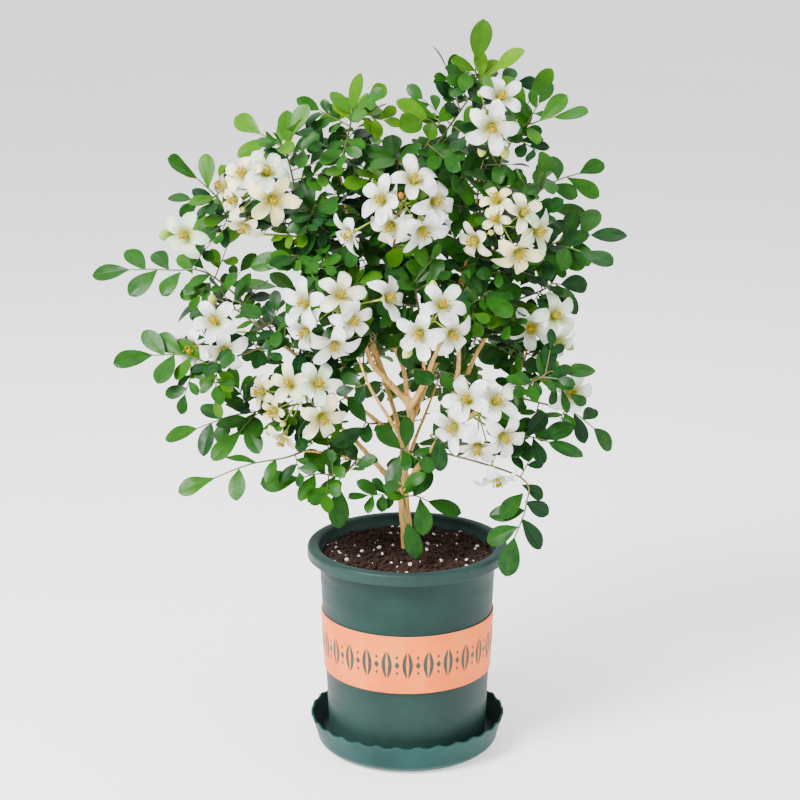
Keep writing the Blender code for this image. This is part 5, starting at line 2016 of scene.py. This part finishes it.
@dataclass
class FlowerCluster:
    """A cluster: its stalk, the hub, and the blooms and buds on their pedicels."""

    plan: GrowingPlan
    layout: ClusterPlan
    dome: float = 34
    widest_lean: float = 0.88
    twist_step: float = 25
    stalk_radius: float = 1.4
    hub_radius: float = 2.4
    pedicel: Floats = (0.75, 0.7, 0.66, 0.62, 0.6, 0.6, 0.64, 0.74, 0.95)
    forwards: Floats = (0, 8, 16)

    def heads(self) -> Iterator[Head]:
        """Yields the cluster's blooms, then its buds."""
        layout, out = self.layout, Vector(self.layout.facing).normalized()
        right = UP.cross(out).normalized()
        up = out.cross(right)
        for is_open, entries in zip((True, False), layout.umbel.value):
            for i, (angle, distance, share) in enumerate(entries):
                turn = radians(layout.spin + (-angle if layout.mirrored else angle))
                away = right * cos(turn) + up * sin(turn)
                reach = max(self.dome * layout.scale, distance * layout.scale / self.widest_lean)
                lean = asin(distance * layout.scale / reach)
                yield Head(is_open, share, out * cos(lean) + away * sin(lean), reach,
                           radians(self.twist_step * i))

    def hangings(self) -> Iterator[tuple[Vector, Root]]:
        """Yields the hubs that the plan can choose, each with the roots of its stalk."""
        layout, out = self.layout, Vector(self.layout.facing).normalized()
        for forward in self.forwards:
            hub = Vector(layout.centre) + out * (forward - self.dome * layout.scale)
            for root in self.plan.roots_for(hub):
                yield hub, root

    def matches(self, built: BuiltNode, hub: Vector, root: Root) -> int:
        """How well a hub and a root agree with the CAD node.

        Args:
            built: The node.
            hub: The hub.
            root: What the stalk grows from.

        Returns:
            Ten for each petal tip and one for each corner of the stalk that the node has.
        """
        cup = Vector((1, 0, Bloom.petal_cup)) * Bloom.petal_length
        tips = [(head.place(hub) @ (cup * head.share)) * MM for head in self.heads()
                if head.is_open]
        seat, heading = root.seat(hub)
        corners = self.plan.stem_corners([seat, hub], [self.stalk_radius] * 2, heading)
        return 10 * built.matches(tips) + built.matches(corners)

    def build(self) -> Piece:
        """Returns the cluster."""
        name, layout = self.layout.node, self.layout
        built = BuiltNode(name)
        hub, root = max(self.hangings(), key=lambda choice: self.matches(built, *choice))
        rng = look_random(name)
        form = Form(PETAL, PEDICEL, FILAMENT, ANTHER, STIGMA, BUD, GOLDEN_BUD)
        seat, _ = root.seat(hub)
        stalk = smooth_route([root.at, seat, seat.lerp(hub, 0.5) + UP * 0.6, hub], (1, 4, 4))
        form.tube(stalk, (1.25, 0.95), 8, PEDICEL, 0, (0.1, 0.8))
        form.globe(Matrix.Translation(hub), (self.hub_radius,) * 3, PEDICEL, 10, 6, (0.1, 0.8, 0))
        greenness = 1 if layout.tint is Tint.MINT else 0.3
        skin = GOLDEN_BUD if layout.umbel is Umbel.RING else BUD
        for i, head in enumerate(self.heads()):
            place = head.place(hub)
            end = place @ (UP * (-4.6 if head.is_open else -0.42 * ClosedBud.length * head.share))
            sag = UP * rng.uniform(-1.2, 0.6)
            form.tube(smooth_route([hub, hub.lerp(end, 0.5) + sag, end], (4, 4)), self.pedicel, 7,
                      PEDICEL, 0.1, (0.3, 0.95))
            if head.is_open:
                tint = (Tint.MINT if i >= layout.pale_from else layout.tint).value
                Bloom(form, place, head.share, tint + rng.uniform(-0.3, 0.34), rng).build()
            else:
                ClosedBud(form, place, head.share, greenness, skin).build()
        return form.stand(name.replace("flowers", "blossom"), name, crease=60)


# Fill

class Crowd:
    """What stands in the crown so far, to keep new leaves clear of it."""

    def __init__(self) -> None:
        """Starts an empty crowd."""
        self.low, self.high = ([c / MM + gap for c in corner] for corner, gap in zip(
            CAD_BOX, (CROWN_MARGIN, -CROWN_MARGIN)))
        self.stands: list[tuple[BVHTree, list[float], list[float]]] = []

    def inside(self, at: Vector) -> bool:
        """Returns True if a place is well inside the whole box."""
        return all(low < c < high for c, low, high in zip(at, self.low, self.high))

    def box(self, points: Route) -> tuple[list[float], list[float]]:
        """Returns the lowest and highest corner of some points."""
        return tuple([pick(axis) for axis in zip(*points)] for pick in (min, max))

    def add(self, points: Route, faces: Sequence[tuple[int, ...]]) -> None:
        """Adds something with these points and faces to the crowd."""
        self.stands.append((BVHTree.FromPolygons(points, faces), *self.box(points)))

    def clear(self, form: Form) -> bool:
        """Tells whether a form keeps clear of the crowd.

        Args:
            form: The form.

        Returns:
            True if it touches nothing.
        """
        low, high = self.box(form.points)
        near = [tree for tree, start, end in self.stands
                if all(a <= d and b >= c for a, b, c, d in zip(low, high, start, end))]
        tree = BVHTree.FromPolygons(form.points, form.faces) if near else None
        return not any(tree.overlap(other) for other in near)


@dataclass
class Thicket:
    """Further small fronds along the limbs and twigs, which make the crown as dense as it grows.

    A frond is part of the spray that it stands nearest to.
    """

    plan: GrowingPlan
    blade: Blade = field(default_factory=lambda: Blade(0.4, 6, (-1, -0.55, 0, 0.55, 1)))
    tries: int = 1350
    frond: Pair = (14, 34)
    leaf_counts: tuple[int, ...] = (4, 5, 5, 6, 7)
    leaf_share: Pair = (0.5, 0.82)
    low_z: float = 236
    full_z: float = 430
    thinnest: float = 0.26
    young_chance: float = 0.16
    window: tuple[Triple, Triple] = ((6, -10, 318), (76, 84, 72))
    window_chance: float = 0.06

    def grow(self, sprays: Sequence[tuple[Spray, Form]], taken: Crowd) -> None:
        """Grows the fronds where nothing is in their way.

        Args:
            sprays: The sprays and their forms.
            taken: What already stands in the crown.
        """
        rng = look_random("thicket")
        roots = [root for root in self.plan.roots if root.at.z > self.low_z]
        twigs = [root for spray, _ in sprays for root in spray.twig_roots()]
        grown = leaves = 0
        for _ in range(self.tries):
            root = rng.choice(roots if rng.random() < 0.5 else twigs)
            height = (root.at.z - self.low_z) / (self.full_z - self.low_z)
            if rng.random() > self.thinnest + (1 - self.thinnest) * smooth_step(height):
                continue
            way = self.rachis(root, rng)
            if not taken.inside(way[-1]) or (self.in_window(way[-1])
                                             and rng.random() > self.window_chance):
                continue
            twig = Form(STEM)
            twig.tube(way[2:], (0.5, 0.35), 3)
            if not taken.clear(twig):
                continue
            young = rng.random() < self.young_chance
            youth = rng.uniform(0.5, 0.85) if young else rng.uniform(0.02, 0.4)
            blades = []
            for leaflet in self.leaflets(way, rng.choice(self.leaf_counts), rng):
                single = Form(BLADE)
                self.blade.add(single, leaflet, youth + rng.uniform(-0.1, 0.1), rng)
                if taken.clear(single):
                    blades.append(single)
                    taken.add(single.points, single.faces)
            if len(blades) < 2:
                continue
            middle = way[len(way) // 2]
            form = min(sprays, key=lambda entry: entry[0].distance(middle))[1]
            form.tube(way, (0.7, 0.4), 5, STEM, youth * 0.5)
            taken.add(twig.points, twig.faces)
            for single in blades:
                form.join(single)
            grown, leaves = grown + 1, leaves + len(blades)
        log.info("thicket: %d fronds with %d leaflets", grown, leaves)

    def in_window(self, at: Vector) -> bool:
        """Returns True where the crown is open, so that its limbs show."""
        centre, reach = self.window
        return sum(((c - m) / r) ** 2 for c, m, r in zip(at, centre, reach)) < 1

    def rachis(self, root: Root, rng: Rng) -> list[Vector]:
        """The middle line of a frond.

        Args:
            root: What it grows from.
            rng: Its random stream.

        Returns:
            Its points.
        """
        front = -1 if root.at.y < self.plan.back_from_y else 1
        heading = Vector((rng.uniform(-1, 1), rng.uniform(-0.5, 1.2) * front,
                          rng.uniform(-0.5, 0.9))).normalized()
        heading = (heading - root.along * heading.dot(root.along) * 0.6).normalized()
        length = rng.uniform(*self.frond)
        bend = self.plan.bend(rng, -0.2) * 4
        return smooth_route([root.at, root.at + heading * length * 0.5 + bend * 0.6,
                             root.at + heading * length + bend], (4, 4))

    def leaflets(self, way: Route, count: int, rng: Rng) -> Iterator[Leaflet]:
        """The leaflets of one frond.

        Args:
            way: Its rachis.
            count: How many.
            rng: Its random stream.

        Yields:
            Each leaflet.
        """
        plan = self.plan
        for i in range(count):
            terminal = i == count - 1
            share = 1 if terminal else 0.3 + 0.66 * i / (count - 1)
            k = min(len(way) - 2, int(share * (len(way) - 1)))
            along = (way[k + 1] - way[k]).normalized()
            at = way[k].lerp(way[k + 1], share * (len(way) - 1) - k)
            normal = plan.leaf_normal(at)
            spread = radians(4 if terminal else rng.uniform(46, 64))
            across = along.cross(normal).normalized() * (1 if i % 2 else -1)
            face = normal + across * rng.uniform(-0.7, 0.7) + along * rng.uniform(-0.5, 0.5)
            size = rng.uniform(*self.leaf_share) * (0.85 + 0.2 * share)
            yield plan.leaflet(at, plan.turned(along, across, spread), face,
                               plan.leaf_length * size,
                               plan.leaf_width * (size * rng.uniform(0.95, 1.2)),
                               rng.uniform(0.02, 0.25))


# Studio

@dataclass(frozen=True)
class FloorPaper(Finish):
    """The plain pale floor, lit a little from beneath."""

    pale: Colour
    soft: Colour
    glow: float = 0.8

    def lay_out(self) -> None:
        """Adds a faint unevenness."""
        cloud = self.patches(900, 0.3, 0.7, detail=2)
        self.coat(Base_Color=self.mix(cloud, self.pale, self.soft), Emission_Color=self.pale,
                  Emission_Strength=self.glow, Roughness=self.span(cloud, 0, 1, 0.85, 0.95))


@dataclass(frozen=True)
class SoftBox:
    """A square lamp: its place, its side and its power in watts."""

    name: str
    at: Triple
    size: float
    watts: float


@dataclass
class Studio:
    """Floor, lights and the camera at the photograph's place."""

    floor_size: float = 200000
    camera_at: Triple = (-6.3, -1672.1, 750.5)
    tilt_down: float = 14.93
    lens: float = 93.3
    sensor: float = 36
    sees_to: float = 250
    world: float = 0.88
    lit: Triple = (0, 0, 300)
    lamps: tuple[SoftBox, ...] = (
        SoftBox("key", (-1250, -1150, 1750), 900, 146),
        SoftBox("fill", (1500, -1100, 900), 1600, 20),
        SoftBox("top", (0, 500, 2100), 1800, 30))

    def build(self) -> None:
        """Sets up the studio."""
        self.floor()
        self.air()
        for lamp in self.lamps:
            self.light(lamp)
        self.camera()

    def floor(self) -> None:
        """Adds the floor."""
        half = self.floor_size / 2 * MM
        mesh = bpy.data.meshes.new("studio_floor")
        mesh.from_pydata([(-half, -half, 0), (half, -half, 0), (half, half, 0), (-half, half, 0)],
                         [], [(0, 1, 2, 3)])
        paper = FloorPaper("floor_paper", Slot.POT, *tones("F8F8F8", "F2F2F2"))
        mesh.materials.append(paper.material())
        show("studio_floor", mesh)

    def air(self) -> None:
        """Sets the soft light from all round."""
        world = bpy.data.worlds.new("soft_air")
        world.use_nodes = True
        backdrop = world.node_tree.nodes["Background"]
        backdrop.inputs["Color"].default_value = (1, 1, 1, 1)
        backdrop.inputs["Strength"].default_value = self.world
        bpy.context.scene.world = world

    def light(self, box: SoftBox) -> None:
        """Adds a lamp.

        Args:
            box: Its plan.
        """
        data = bpy.data.lights.new(box.name, "AREA")
        data.size, data.energy = box.size * MM, box.watts
        lamp, at = show(box.name, data), Vector(box.at)
        lamp.location = at * MM
        lamp.rotation_euler = (Vector(self.lit) - at).to_track_quat("-Z", "Y").to_euler()

    def camera(self) -> None:
        """Adds the camera."""
        data = bpy.data.cameras.new("photo_camera")
        data.lens, data.sensor_width, data.clip_end = self.lens, self.sensor, self.sees_to
        camera = show("photo_camera", data)
        camera.location = Vector(self.camera_at) * MM
        camera.rotation_euler = (radians(90 - self.tilt_down), 0, 0)
        bpy.context.scene.camera = camera


def report(pieces: Iterable[Piece]) -> None:
    """Logs each of some finished pieces."""
    for piece in pieces:
        log.info("%s: %d faces", piece.name, len(piece.data.polygons))


def main() -> None:
    """Builds the piece classes in order."""
    logging.basicConfig(level=logging.INFO, format="%(message)s")
    Studio().build()
    plan, pot = GrowingPlan(), Pot()
    for part in (pot, Band(pot), Saucer(), PottingSoil(pot), Wood()):
        report(part.build())
    crowd = Crowd()
    for layout in CLUSTERS:
        piece = FlowerCluster(plan, layout).build()
        report([piece])
        crowd.add([corner.co / MM for corner in piece.data.vertices],
                  [tuple(face.vertices) for face in piece.data.polygons])
    sprays = []
    for layout in SPRAYS:
        spray = Spray(plan, layout)
        form = spray.grow()
        crowd.add(form.points, form.faces)
        sprays.append((spray, form))
    Thicket(plan).grow(sprays, crowd)
    report(spray.stand(form) for spray, form in sprays)


if __name__ == "__main__":
    main()
